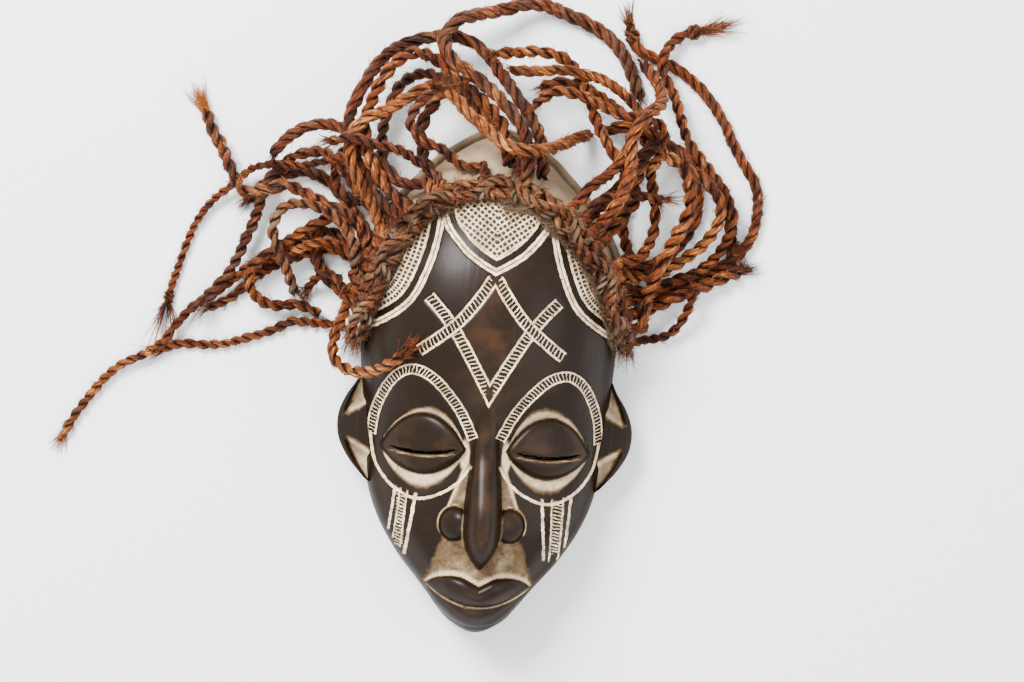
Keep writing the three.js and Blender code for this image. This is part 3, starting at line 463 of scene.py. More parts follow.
        (-119, 98), (-126, 95), (-130, 89), (-131, 82), (-129, 75), (-126, 67), (-122, 59), (-119, 51),
        (-117, 45),
    )),
    ("left_small_curl", 6, "red", 2, "bare", (24, 8.0, 0.5), (
        (-86.6, 44.2), (-89, 52), (-94, 58), (-100, 59), (-106, 53), (-111, 47),
    )),
)


def wood_top(x, y):
    """The top of the wood: the face, the ledge round its crown and its ears."""
    a = np.abs(x)
    top = face_height(x, y)
    on_flange = (y > FLANGE_START) & (a < half_width(y) + FLANGE_WIDTH)
    on_flange |= (y >= CROWN_END) & (np.hypot(x, y - CROWN_END) < FLANGE_WIDTH * 2)
    top = np.where(on_flange, np.maximum(top, FLANGE_HEIGHT), top)
    on_ear = (y > EAR_LOW) & (y < EAR_HIGH) & (a < ear_edge(y))
    return np.where(on_ear, np.maximum(top, ear_top(a, y)), top)


# How far out from a rope's middle the wood under it is felt for, and in how many directions
FEELER_SHARES = (0.0, 0.5, 0.8, 0.97)
FEELER_DIRECTIONS = 12


def over_wood(places, reach):
    """The heights at which a rope's centre clears the floor and the wood."""
    height = np.full(len(places), float(reach))
    for share in FEELER_SHARES:
        for k in range(FEELER_DIRECTIONS if share else 1):
            angle = 2 * math.pi * k / FEELER_DIRECTIONS
            x = places[:, 0] + reach * share * math.cos(angle)
            y = places[:, 1] + reach * share * math.sin(angle)
            top = wood_top(x, y)
            clear = top + reach * math.sqrt(1 - share * share)
            height = np.where(top > 0, np.maximum(height, clear), height)
    return height


def over_ropes(places, radius, laid):
    """The heights at which a rope's centre clears the ropes that lie there already."""
    height = np.zeros(len(places))
    for other_radius, nodes in laid:
        reach = (radius + other_radius) * CONTACT_SHARE
        for a, b in zip(nodes[:-1], nodes[1:]):
            run = b[:2] - a[:2]
            length2 = float(run @ run)
            t = np.clip((places - a[:2]) @ run / length2, 0, 1)
            gap = np.linalg.norm(places - a[:2] - t[:, None] * run, axis=1)
            steep = math.sqrt(1 + (b[2] - a[2]) ** 2 / length2)
            rise = steep * np.sqrt(np.maximum(reach * reach - gap * gap, 0))
            height = np.where(gap < reach, np.maximum(height, a[2] + t * (b[2] - a[2]) + rise), height)
    return height


def spaced(line, step):
    """Points along a smooth plan line, a step apart."""
    divisions = 20 * len(line)
    t = np.arange(divisions + 1) / divisions
    pts = spline_at(line, t)
    lengths = np.concatenate([[0], np.cumsum(np.linalg.norm(np.diff(pts, axis=0), axis=1))])
    count = int(math.floor(lengths[-1] / step + 0.5))
    wanted = np.arange(count + 1) / count * lengths[-1]
    return spline_at(line, np.interp(wanted, lengths, t))


SETTLE_ROUNDS = 400
SETTLE_PROBES = 5
STIFFNESS = 0.3
SAG = 0.12


def settle(plan, radius, laid):
    """Lays a rope down on the wood and on the ropes before it, as in the solids."""
    shares = [n / SETTLE_PROBES for n in range(SETTLE_PROBES)]
    spots = [(k, t) for k in range(1, len(plan)) for t in shares]
    places = np.array([plan[k - 1] * (1 - t) + plan[k] * t for k, t in spots])
    floors = np.maximum(over_wood(places, radius), over_ropes(places, radius, laid))
    support = list(np.maximum(over_wood(plan, radius), over_ropes(plan, radius, laid)))
    z = list(support)
    probes = [(k, t, floor, (1 - t) ** 2 + t**2) for (k, t), floor in zip(spots, floors)]
    for _ in range(SETTLE_ROUNDS):
        before = list(z)
        for k in range(1, len(z) - 1):
            z[k] += STIFFNESS * ((before[k - 1] + before[k + 1]) / 2 - before[k]) - SAG
        z[-1] -= SAG
        z = [max(a, b) for a, b in zip(z, support)]
        for k, t, floor, share in probes:
            lack = floor - (1 - t) * z[k - 1] - t * z[k]
            if lack > 0:
                z[k - 1] += lack * (1 - t) / share
                z[k] += lack * t / share
    return np.column_stack([plan, z])


def beside_hairline(out, step=NODE_STEP, weave=0.0):
    """The plan line beside the hairline, so far out from the face. It can weave from side to side."""
    plan = spaced(HAIRLINE, step)
    reach = out + weave * np.sin(2 * math.pi * np.arange(len(plan)) * step / 41)
    return plan + unit(left_of(plan)) * reach[:, None]


# Mesh and object helpers
def new_mesh(name, verts, faces, smooth_shading=True):
    mesh = bpy.data.meshes.new(name)
    mesh.from_pydata((np.asarray(verts) * MM).tolist(), [], faces)
    mesh.polygons.foreach_set("use_smooth", [smooth_shading] * len(mesh.polygons))
    mesh.update()
    piece = bpy.data.objects.new(name, mesh)
    scene.collection.objects.link(piece)
    return piece


def turned_over(faces, shift=0):
    """The same faces the other way up, and on corners that come so much later."""
    return [tuple(shift + i for i in reversed(face)) for face in faces]


def set_attribute(piece, name, kind, values):
    key = {"FLOAT": "value", "FLOAT_VECTOR": "vector", "FLOAT_COLOR": "color"}[kind]
    layer = piece.data.attributes.new(name, kind, "POINT")
    layer.data.foreach_set(key, np.asarray(values, np.float32).ravel())


def dress(piece, material):
    piece.data.materials.clear()
    piece.data.materials.append(material)
    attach(piece, "root")
    return piece


# Twisted ropes
RING_STEP = 1.4
STRAND_SIDES = 16
# By the number of strands: the length of a full turn and a strand's radius, in rope diameters
PITCH_SHARES = {2: 2.3, 3: 3.1}
STRAND_SHARES = {2: 0.272, 3: 0.243}
FIBRE_POINTS, FIBRE_SIDES = 4, 3
FUZZ_GRAIN, FUZZ_SHADE = 0.35, 0.7
# How far a strand turns on itself in one pitch, in radians
STRAND_SPIN = -2.2
# No part of a rope lies lower than this over the floor
LOWEST = 0.15
RANDOM = np.random.default_rng(7)


def carried(tangent, start):
    """A direction square to a line, carried along it without twisting."""
    side = np.zeros_like(tangent)
    side[0] = unit(start)
    for k in range(1, len(tangent)):
        side[k] = unit(side[k - 1] - tangent[k] * (side[k - 1] @ tangent[k]))
    return side


def fine_line(nodes, step):
    """A smooth line through the nodes, with its lengths along and its frames."""
    nodes = np.asarray(nodes, float)
    t = np.linspace(0, 1, 24 * len(nodes))
    pts = spline_at(nodes, t)
    lengths = np.concatenate([[0], np.cumsum(np.linalg.norm(np.diff(pts, axis=0), axis=1))])
    count = max(4, int(lengths[-1] / step))
    s = np.linspace(0, lengths[-1], count + 1)
    line = spline_at(nodes, np.interp(s, lengths, t))
    tangent = unit(np.gradient(line, axis=0))
    side = carried(tangent, np.cross(tangent[0], (0.0, 0.0, 1.0)))
    return line, s, tangent, side, np.cross(tangent, side)


NOISE_LENGTH = 4096


def value_noise(x, seed):
    """Smooth noise from -1 to 1 along a line."""
    table = np.random.default_rng(seed).uniform(-1, 1, NOISE_LENGTH)
    i = np.floor(x).astype(int)
    t = x - i
    t = t * t * (3 - 2 * t)
    return table[i % NOISE_LENGTH] * (1 - t) + table[(i + 1) % NOISE_LENGTH] * t


# Unevenness along a rope: how much, and over how many millimetres it changes
TURN_WANDER = (0.9, 16)
STRAND_SWELLING = (0.16, 5)
STRAND_WANDER = (0.2, 10)
TONE_WANDER = (0.5, 22)
RIDGE_WANDER = (2.6, 11)


def uneven(s, kind, seed):
    size, run = kind
    return size * value_noise(s / run, seed)


def strand_rings(centres, radii, sides, spin):
    """Rings of a strand round its centres. Each ring's first corner turns with spin."""
    tangent = unit(np.gradient(centres, axis=0))
    first = carried(tangent, np.cross(tangent[0], (0.3, 0.2, 1.0)))
    second = np.cross(tangent, first)
    angles = 2 * math.pi * np.arange(sides) / sides
    phase = angles[None, :] + spin[:, None]
    around = np.cos(phase)[:, :, None] * first[:, None, :] + np.sin(phase)[:, :, None] * second[:, None, :]
    return centres[:, None, :] + around * radii[:, None, None]


def tube_faces(rings, sides, start):
    """Faces of a closed tube whose corners begin at start."""
    faces = []
    for i in range(rings - 1):
        a = start + i * sides
        for j in range(sides):
            k = (j + 1) % sides
            faces.append((a + j, a + k, a + sides + k, a + sides + j))
    faces.append(tuple(start + j for j in reversed(range(sides))))
    end = start + (rings - 1) * sides
    faces.append(tuple(end + j for j in range(sides)))
    return faces


def ridged(angles, s, seed):
    """A strand's radius round it, as a share: bundles of fibre that wander along it."""
    total = np.zeros((len(s), len(angles)))
    for waves, size in ((3, 0.06), (5, 0.07), (7, 0.05)):
        phase = uneven(s, RIDGE_WANDER, seed + waves)
        total += size * np.cos(waves * angles[None, :] + phase[:, None])
    return 1 + total


def twisted(nodes, diameter, strands, seed, both_ends_thin=False):
    """A twisted rope: its middle line, corners, faces, what its material reads and its strands' crests."""
    line, s, _, side, other = fine_line(nodes, RING_STEP)
    verts, faces, fibre, shade, depth, crests = [], [], [], [], [], []
    pitch = diameter * PITCH_SHARES[strands]
    strand_radius = diameter * STRAND_SHARES[strands]
    offset = diameter / 2 - strand_radius
    turn = 2 * math.pi * s / pitch + uneven(s, TURN_WANDER, seed)
    to_end = np.minimum(s, s[-1] - s) if both_ends_thin else s[-1] - s
    ends = np.minimum(1, 0.55 + to_end / (1.2 * diameter))
    angles = 2 * math.pi * np.arange(STRAND_SIDES) / STRAND_SIDES
    for n in range(strands):
        angle = turn + 2 * math.pi * n / strands
        swell = 1 + uneven(s, STRAND_SWELLING, seed + n + 1)
        reach = offset * (1 + uneven(s, STRAND_WANDER, seed + 11 + n))
        centres = line + (np.cos(angle)[:, None] * side + np.sin(angle)[:, None] * other) * reach[:, None]
        radii = np.minimum(strand_radius * swell * ends, diameter / 2 * 1.03 - reach)
        spin = STRAND_SPIN * s / pitch
        rings = strand_rings(centres, radii, STRAND_SIDES, spin)
        ridges = ridged(angles, s, seed + 60 + 9 * n)[:, :, None]
        rings = centres[:, None, :] + (rings - centres[:, None, :]) * ridges
        faces += tube_faces(len(line), STRAND_SIDES, len(verts) * len(line) * STRAND_SIDES)
        verts.append(rings.reshape(-1, 3))
        u = np.repeat(s + 40 * n, STRAND_SIDES)
        v = np.tile(angles, len(line))
        fibre.append(np.column_stack([u, np.cos(v), np.sin(v)]))
        tone = 0.5 + uneven(s, TONE_WANDER, seed + 31 + n)
        shade.append(np.repeat(tone, STRAND_SIDES))
        # How far out each corner lies, by the rope's radius: the material paints shade where this is low
        out = np.linalg.norm(rings - line[:, None, :], axis=2) / (diameter / 2)
        depth.append(out.ravel())
        crests.append(line + (centres - line) * ((reach + radii) / reach)[:, None])
    marks = (np.concatenate(fibre), np.concatenate(shade), np.concatenate(depth))
    return line, s, np.concatenate(verts), faces, marks, np.array(crests)


def hairs(starts, directions, lengths, radius, curl):
    """Thin curved fibres, as corners and faces."""
    count = len(starts)
    t = np.linspace(0, 1, FIBRE_POINTS)
    bend = RANDOM.normal(size=(count, 3)) * curl
    wave = RANDOM.normal(size=(count, 3)) * curl * 0.5
    path = starts[:, None, :] + lengths[:, None, None] * (
        directions[:, None, :] * t[None, :, None]
        + bend[:, None, :] * (t**2)[None, :, None]
        + wave[:, None, :] * np.sin(t * math.pi * 2)[None, :, None] * 0.35
    )
    path[:, :, 2] = np.maximum(path[:, :, 2], radius * 1.2)
    tangent = np.gradient(path, axis=1)
    tangent /= np.linalg.norm(tangent, axis=2)[:, :, None] + 1e-9
    reference = np.where(np.abs(tangent[..., 2:3]) > 0.9, [[[1.0, 0.0, 0.0]]], [[[0.0, 0.0, 1.0]]])
    first = np.cross(tangent, reference)
    first /= np.linalg.norm(first, axis=2)[:, :, None] + 1e-9
    second = np.cross(tangent, first)
    width = radius * (1 - 0.75 * t)[None, :, None, None]
    angles = 2 * math.pi * np.arange(FIBRE_SIDES) / FIBRE_SIDES
    ring = (
        np.cos(angles)[None, None, :, None] * first[:, :, None, :]
        + np.sin(angles)[None, None, :, None] * second[:, :, None, :]
    )
    verts = (path[:, :, None, :] + ring * width).reshape(-1, 3)
    faces = []
    for n in range(count):
        faces += tube_faces(FIBRE_POINTS, FIBRE_SIDES, n * FIBRE_POINTS * FIBRE_SIDES)
    return verts, faces


# Materials
TAR = (0.028, 0.007, 0.003)
SQUARES_PITCH, SQUARES_LEAN = 2.85, 36.0


class Shader:
    """A material whose nodes are made by short calls that return sockets."""

    def __init__(self, name):
        self.material = bpy.data.materials.new(name)
        self.material.use_nodes = True
        self.tree = self.material.node_tree
        self.tree.nodes.clear()
        self.surface = self.tree.nodes.new("ShaderNodeBsdfPrincipled")
        output = self.tree.nodes.new("ShaderNodeOutputMaterial")
        self.tree.links.new(self.surface.outputs["BSDF"], output.inputs["Surface"])

    def put(self, socket, value):
        if isinstance(value, bpy.types.NodeSocket):
            self.tree.links.new(value, socket)
        else:
            socket.default_value = value

    def math(self, operation, *values, clamp=False):
        node = self.tree.nodes.new("ShaderNodeMath")
        node.operation = operation
        node.use_clamp = clamp
        for socket, value in zip(node.inputs, values):
            self.put(socket, value)
        return node.outputs[0]

    def times(self, a, b):
        return self.math("MULTIPLY", a, b)

    def linear(self, value, factor, added):
        return self.math("MULTIPLY_ADD", value, factor, added)

    def added(self, a, b, clamp=False):
        return self.math("ADD", a, b, clamp=clamp)

    def most(self, *values):
        total = values[0]
        for value in values[1:]:
            total = self.math("MAXIMUM", total, value)
        return total

    def less(self, a, b):
        return self.math("SUBTRACT", a, b)

    def absolute(self, value):
        return self.math("ABSOLUTE", value)

    def phase(self, value, pitch):
        """How far along its own step a value is, from 0 to 1."""
        return self.math("FRACT", self.math("DIVIDE", value, pitch))

    def step(self, value, low, high):
        """0 below low and 1 above high, or the other way round if low is more than high."""
        node = self.tree.nodes.new("ShaderNodeMapRange")
        node.interpolation_type = "SMOOTHSTEP"
        flip = low > high
        pairs = {
            "Value": value,
            "From Min": min(low, high),
            "From Max": max(low, high),
            "To Min": 1.0 if flip else 0.0,
            "To Max": 0.0 if flip else 1.0,
        }
        for name, item in pairs.items():
            self.put(node.inputs[name], item)
        return node.outputs["Result"]

    def within(self, value, low, high, soft):
        rising = self.step(value, low - soft, low + soft)
        return self.times(rising, self.step(value, high + soft, high - soft))

    def noise(self, vector, scale, detail=3.0, roughness=0.55):
        node = self.tree.nodes.new("ShaderNodeTexNoise")
        self.put(node.inputs["Vector"], vector)
        node.inputs["Scale"].default_value = scale
        node.inputs["Detail"].default_value = detail
        node.inputs["Roughness"].default_value = roughness
        return node.outputs[0]

    def mix(self, share, a, b):
        node = self.tree.nodes.new("ShaderNodeMix")
        node.data_type = "RGBA"
        self.put(node.inputs[0], share)
        for socket, value in ((node.inputs[6], a), (node.inputs[7], b)):
            self.put(socket, (*value, 1.0) if isinstance(value, tuple) else value)
        return node.outputs[2]

    def place(self):
        return self.tree.nodes.new("ShaderNodeNewGeometry").outputs["Position"]

    def scaled(self, vector, factors):
        node = self.tree.nodes.new("ShaderNodeVectorMath")
        node.operation = "MULTIPLY"
        self.put(node.inputs[0], vector)
        node.inputs[1].default_value = factors
        return node.outputs[0]

    def attribute(self, name):
        node = self.tree.nodes.new("ShaderNodeAttribute")
        node.attribute_name = name
        return node.outputs

    def parts(self, vector):
        node = self.tree.nodes.new("ShaderNodeSeparateXYZ")
        self.put(node.inputs[0], vector)
        return node.outputs

    def bump(self, height, distance, strength=1.0, normal=None):
        node = self.tree.nodes.new("ShaderNodeBump")
        node.inputs["Strength"].default_value = strength
        node.inputs["Distance"].default_value = distance
        self.put(node.inputs["Height"], height)
        if normal is not None:
            self.put(node.inputs["Normal"], normal)
        return node.outputs[0]

    def finish(self, colour, roughness, normal=None, specular=0.4):
        self.put(self.surface.inputs["Base Color"], colour)
        self.put(self.surface.inputs["Roughness"], roughness)
        self.put(self.surface.inputs["Specular IOR Level"], specular)
        self.put(self.surface.inputs["IOR"], 1.35)
        if normal is not None:
            self.put(self.surface.inputs["Normal"], normal)
        return self.material


def fibre_material(name, dark, bright, painted_highlight, dust, dust_share, spot_share):
    """Twisted fibre: bright bundles and dark gaps along the strands, painted highlights, painted crease
    shade and dusty patches.
    """
    shader = Shader(name)
    fibre = shader.attribute("fibre")["Vector"]
    shade = shader.attribute("shade")["Fac"]
    depth = shader.attribute("depth")["Fac"]
    place = shader.place()
    bundles = shader.noise(shader.scaled(fibre, (0.20, 1.9, 1.9)), 1.0, 3.0, 0.6)
    fine = shader.noise(shader.scaled(fibre, (0.30, 4.2, 4.2)), 1.0, 3.0, 0.65)
    patches = shader.noise(place, 46.0, 3.0)
    tone = shader.linear(bundles, 2.0, shader.linear(shade, 0.4, -1.2))
    tone = shader.added(tone, shader.linear(fine, 1.5, -0.75))
    tone = shader.added(tone, shader.linear(patches, 1.6, -0.36), clamp=True)
    colour = shader.mix(tone, dark, bright)
    # Painted highlight: where the tone is highest, the colour turns towards the highlight colour
    colour = shader.mix(shader.times(shader.step(tone, 0.72, 1.0), 0.75), colour, painted_highlight)
    dusty = shader.times(shader.step(shader.noise(place, 75.0, 4.0), 0.46, 0.66), dust_share)
    colour = shader.mix(dusty, colour, dust)
    tar = shader.step(shader.noise(place, 110.0, 3.0), 0.58, 0.68)
    colour = shader.mix(shader.times(tar, spot_share), colour, TAR)
    # Painted shade: towards the rope's middle, where the strands meet, the colour darkens to 0.16 of the
    # dark fibre colour.
    painted_crease_shade = shader.times(shader.step(depth, 0.93, 0.58), 0.92)
    colour = shader.mix(painted_crease_shade, colour, tuple(0.16 * c for c in dark))
    height = shader.linear(fine, 0.6, bundles)
    return shader.finish(colour, 0.52, shader.bump(height, 0.0030), specular=0.3)


# Dark and bright fibre, the painted highlight colour of the brightest bundles, dust, and the shares of dust
# and of dark spots
FIBRE_LOOKS = {
    "red": (
        (0.026, 0.003, 0.001), (0.32, 0.071, 0.011), (0.72, 0.29, 0.075), (0.20, 0.10, 0.045), 0.2, 0.85,
    ),
    "orange": (
        (0.045, 0.007, 0.002), (0.45, 0.12, 0.022), (0.86, 0.42, 0.14), (0.33, 0.17, 0.08), 0.2, 0.7,
    ),
    "tip": (
        (0.16, 0.035, 0.006), (0.72, 0.22, 0.035), (0.92, 0.46, 0.13), (0.5, 0.25, 0.1), 0.2, 0.3,
    ),
    "dark": (
        (0.014, 0.002, 0.001), (0.20, 0.044, 0.011), (0.48, 0.18, 0.06), (0.15, 0.085, 0.05), 0.35, 0.9,
    ),
    "dusty": (
        (0.03, 0.009, 0.004), (0.31, 0.095, 0.031), (0.57, 0.29, 0.13), (0.20, 0.13, 0.072), 0.6, 0.85,
    ),
    "grey": (
        (0.036, 0.020, 0.011), (0.26, 0.155, 0.085), (0.44, 0.31, 0.19), (0.31, 0.22, 0.14), 0.5, 0.6,
    ),
}
FIBRES = {name: fibre_material(f"rope_{name}", *look) for name, look in FIBRE_LOOKS.items()}


def fibre_piece(name, verts, faces, marks, material):
    """A piece of fibre, with the marks that its material reads."""
    piece = new_mesh(name, verts, faces)
    for mark, kind, values in zip(("fibre", "shade", "depth"), ("FLOAT_VECTOR", "FLOAT", "FLOAT"), marks):
        set_attribute(piece, mark, kind, values)
    return dress(piece, FIBRES[material])


def rope_piece(name, nodes, diameter, strands, material, seed, both_ends_thin=False):
    line, s, verts, faces, marks, crests = twisted(nodes, diameter, strands, seed, both_ends_thin)
    verts[:, 2] = np.maximum(verts[:, 2], LOWEST)
    return fibre_piece(name, verts, faces, marks, material), line, s, crests


def fuzz_piece(name, shape, material):
    """A piece of loose fibres, from their corners and faces."""
    verts, faces = shape
    # Loose fibres get full depth, so no painted crease shade
    marks = (verts * FUZZ_GRAIN, np.full(len(verts), FUZZ_SHADE), np.ones(len(verts)))
    return fibre_piece(name, verts, faces, marks, material)


def strays(line, diameter, count):
    """Thin fibres that stand off a rope."""
    k = RANDOM.integers(2, len(line) - 2, count)
    tangent = unit(line[k + 1] - line[k - 1])
    out = RANDOM.normal(size=(count, 3))
    out = unit(out - tangent * np.sum(out * tangent, axis=1)[:, None])
    direction = tangent * RANDOM.uniform(0.5, 1.0, (count, 1))
    direction = direction + out * RANDOM.uniform(0.12, 0.6, (count, 1))
    lengths = np.minimum(RANDOM.gamma(1.6, 2.0, count) + 1.5, 13.0)
    return hairs(line[k] + out * diameter * 0.4, direction, lengths, radius=0.13, curl=0.25)


def wisps(line, crests, diameter, count):
    """Coarser fibres that lie along the crests of the strands."""
    k = RANDOM.integers(2, len(line) - 2, count)
    n = RANDOM.integers(0, len(crests), count)
    crest = crests[n, k]
    run = unit(crests[n, k + 1] - crests[n, k - 1])
    out = unit(crest - line[k])
    across = np.cross(run, out)
    starts = crest + across * RANDOM.normal(0, 0.13 * diameter, (count, 1)) - out * 0.2
    direction = run + out * RANDOM.uniform(0.0, 0.14, (count, 1))
    direction = direction + across * RANDOM.normal(0, 0.12, (count, 1))
    return hairs(starts, direction, RANDOM.uniform(2.5, 6.5, count), radius=0.27, curl=0.07)


def frayed_end(line, diameter, count, reach, spread):
    """Fibres in a few bunches that spread from a rope's end."""
    end = unit(line[-1] - line[-4])
    bunches = RANDOM.normal(size=(6, 3)) * spread * 0.8
    bunch = RANDOM.integers(0, len(bunches), count)
    own = RANDOM.normal(size=(count, 3))
    starts = line[-2] + bunches[bunch] * diameter * 0.35 + own * diameter * 0.12
    direction = end + bunches[bunch] + own * spread * 0.25
    direction[:, 2] = np.maximum(direction[:, 2], -0.1)
    lengths = RANDOM.uniform(0.35, 1.0, count) * reach
    return hairs(starts, direction, lengths, radius=0.3, curl=0.12)


def loose_fibres(line, crests, diameter, frayed, every):
    """All the loose fibres of a rope, one stray to so many millimetres of it."""
    count = int(len(line) * RING_STEP / every)
    parts = [strays(line, diameter, count)]
    parts.append(wisps(line, crests, diameter, int(1.4 * count)))
    amount, reach, spread = frayed
    if amount:
        parts.append(frayed_end(line, diameter, int(1.5 * amount), reach, spread))
    return joined(parts)


def joined(parts):
    """One list of corners and one of faces out of several."""
    verts = np.concatenate([part[0] for part in parts])
    faces = []
    shift = 0
    for part_verts, part_faces in parts:
        faces += [tuple(i + shift for i in face) for face in part_faces]
        shift += len(part_verts)
    return verts, faces


KNOT_TURNS = 1.7
# Half of a knot's length, how far its cord lies out and how low it may lie, by the rope's diameter
KNOT_HALF, KNOT_REACH, KNOT_LOWEST = 0.45, 0.46, 0.3


def knot_nodes(line, diameter):
    """Nearly two turns of cord round a rope, near its end."""
    k = len(line) - 1 - int(diameter / RING_STEP)
    centre = line[k]
    axis = unit(line[k + 1] - line[k - 1])
    side = unit(np.cross(axis, (0.0, 0.0, 1.0)))
    other = np.cross(side, axis)
    angles = np.linspace(0, KNOT_TURNS * 2 * math.pi, 22)
    reach = diameter * KNOT_REACH
    ring = np.cos(angles)[:, None] * side + np.sin(angles)[:, None] * other
    advance = np.linspace(-KNOT_HALF, KNOT_HALF, len(angles))[:, None] * diameter
    nodes = centre + ring * reach + axis * advance
    nodes[:, 2] = np.maximum(nodes[:, 2], diameter * KNOT_LOWEST)
    return nodes


def root_nodes(line, strand):
    """A short rope from inside the hairline's outer rope to a free rope's root."""
    root = line[0]
    inner = strand[np.argmin(np.linalg.norm(strand[:, :2] - root[:2], axis=1))]
    onward = unit(line[3] - line[0])
    return np.array([inner, inner * 0.45 + root * 0.55, root, root + onward * 3.0])


TOP_DIAMETER = 5.2
# Diameters of a knot's cord and of a root, by the rope's own
KNOT_SHARE, ROOT_SHARE = 0.6, 0.97
# This rope's root lies against another rope, so it has no short rope in to the hairline
ROOTED_OUTSIDE = "left_loop"
# This rope's loose fibres are paler than the rope
PALE_FIBRED = "left_orange"
# How far out from the hairline the points of a lashing lie
LASHING_REACH = (-7.8, -5.8, -3.6, -0.5, 3.0, 6.0)
# Millimetres of rope to each loose fibre
HAIRLINE_FIBRE_STEP = 0.7
ROPE_FIBRE_STEP = 1.3


def hairline_strands():
    """The twisted ropes along the hairline: two that the solids have and a thinner one woven over them."""
    laid = []
    half = STRAND_DIAMETER / 2
    for name, out, seed in (("inner", -half, 51), ("outer", half, 52)):
        nodes = settle(beside_hairline(out), half, laid)
        laid.append((half, nodes))
        title = f"hairline_twist_{name}"
        piece, line, _, crests = rope_piece(
            title, nodes, STRAND_DIAMETER, 2, "dusty", seed, both_ends_thin=True
        )
        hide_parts(f"hairline_rope_{name}")
        fibres = loose_fibres(line, crests, STRAND_DIAMETER, NOT_FRAYED, HAIRLINE_FIBRE_STEP)
        fuzz_piece(f"hairline_fuzz_{name}", fibres, "dusty")
    nodes = settle(beside_hairline(0.0, 7.0, 3.4), TOP_DIAMETER / 2, laid)
    _, line, _, crests = rope_piece(
        "hairline_twist_top", nodes, TOP_DIAMETER, 2, "dusty", 73, both_ends_thin=True
    )
    fibres = loose_fibres(line, crests, TOP_DIAMETER, NOT_FRAYED, HAIRLINE_FIBRE_STEP)
    fuzz_piece("hairline_fuzz_top", fibres, "dusty")
    lashings(laid)
    return laid


def lashings(laid):
    """Short cords from the face, over the hairline ropes, at uneven places."""
    lines = [beside_hairline(out, 2.0) for out in LASHING_REACH]
    place = 6
    number = 0
    while place < len(lines[0]) - 8:
        slant = int(RANDOM.integers(-3, 4))
        steps = [place + slant * n // 3 for n in range(len(lines))]
        plan = np.array([points[np.clip(k, 0, len(points) - 1)] for k, points in zip(steps, lines)])
        reach = float(RANDOM.uniform(3.4, 4.6))
        heights = np.maximum(over_wood(plan, reach / 2), over_ropes(plan, reach / 2, laid)) - 0.6
        nodes = np.column_stack([plan, heights])
        colour = ("grey", "dusty")[number % 2]
        seed = 800 + 7 * number
        name = f"lashing_{number}"
        rope_piece(name, nodes, reach, 2, colour, seed, both_ends_thin=True)
        place += int(RANDOM.integers(4, 10))
        number += 1


def lay_ropes():
    laid = hairline_strands()
    strand = fine_line(laid[1][1], 1.0)[0]
    for number, (name, diameter, colour, strands, far_end, frayed, plan) in enumerate(FREE_ROPES):
        nodes = settle(spaced(plan, NODE_STEP), diameter / 2, laid)
        laid.append((diameter / 2, nodes))
        title = f"twisted_{name}"
        seed = 100 + 40 * number
        piece, line, s, crests = rope_piece(title, nodes, diameter, strands, colour, seed)
        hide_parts(f"rope_{name}")
        fibres = loose_fibres(line, crests, diameter, frayed, ROPE_FIBRE_STEP)
        fuzz_colour = "tip" if name == PALE_FIBRED else colour
        extras = [fuzz_piece(f"fibres_{name}", fibres, fuzz_colour)]
        if name != ROOTED_OUTSIDE:
            stub = root_nodes(line, strand)
            seed = 700 + number
            thick = diameter * ROOT_SHARE
            root = rope_piece(f"root_{name}", stub, thick, strands, colour, seed)
            extras.append(root[0])
        if far_end == "knot":
            turns = knot_nodes(line, diameter)
            seed = 900 + number
            thick = diameter * KNOT_SHARE
            knot = rope_piece(f"knot_{name}", turns, thick, 2, colour, seed, both_ends_thin=True)
            extras.append(knot[0])
    return laid


laid_ropes = lay_ropes()


# Incised patterns: lines on the right half of the face, mirrored onto the left
LATTICE_WIDTH = 7.0
BROW_WIDTH = 6.2
LATTICE_A = [(0, 60.5), (9, 46), (19, 33.5), (30, 24), (41.5, 15.5)]
LATTICE_B = [(0, -8.0), (10, 9.5), (20, 26), (29, 38), (37.5, 47)]
LATTICE_TOP = 60.0
BROW = [
    (7.5, -34), (15.5, -18.5), (25, -6.5), (34.5, 1.8), (44, 4.8), (52, 2), (59, -6), (65, -20), (67, -35),
]
CROWN_V = [(0, 60), (8.5, 65), (17, 71), (24, 78.5), (30, 87), (33, 97)]
SIDE_PATCH = [
    (30.5, 98), (31, 86), (34, 71), (38, 59), (43.5, 47), (50, 39), (60, 32), (70, 27), (80, 23),
]
UNDER_EYE = [(67.5, -34), (64, -50), (54.5, -62.5), (41, -69.5), (28, -67.5), (16, -60), (9.5, -51)]
CARVED_LINES = {
    "lattice_a": LATTICE_A,
    "lattice_b": LATTICE_B,
    "brow": BROW,
    "crown_v": CROWN_V,
    "side_patch": SIDE_PATCH,
    "under_eye": UNDER_EYE,
}
# Scratched lines down the cheeks: x at the top and at the bottom, the two y values and the width
CHEEK_LINES = (
    (-51.0, -54.0, -64.0, -90.0, 1.5),
    (-48.0, -51.0, -65.0, -95.0, 0.9),
    (-44.0, -46.5, -66.0, -100.0, 1.1),
    (-39.0, -44.0, -67.0, -104.0, 1.9),
    (34.0, 37.5, -67.0, -103.0, 1.7),
    (40.0, 41.0, -67.0, -104.0, 1.0),
    (47.0, 46.6, -66.0, -104.0, 1.3),
    (51.5, 50.0, -66.0, -96.0, 1.7),
)
CHEEK_RUNGS = ((-50.0, -45.0), (41.0, 46.5))


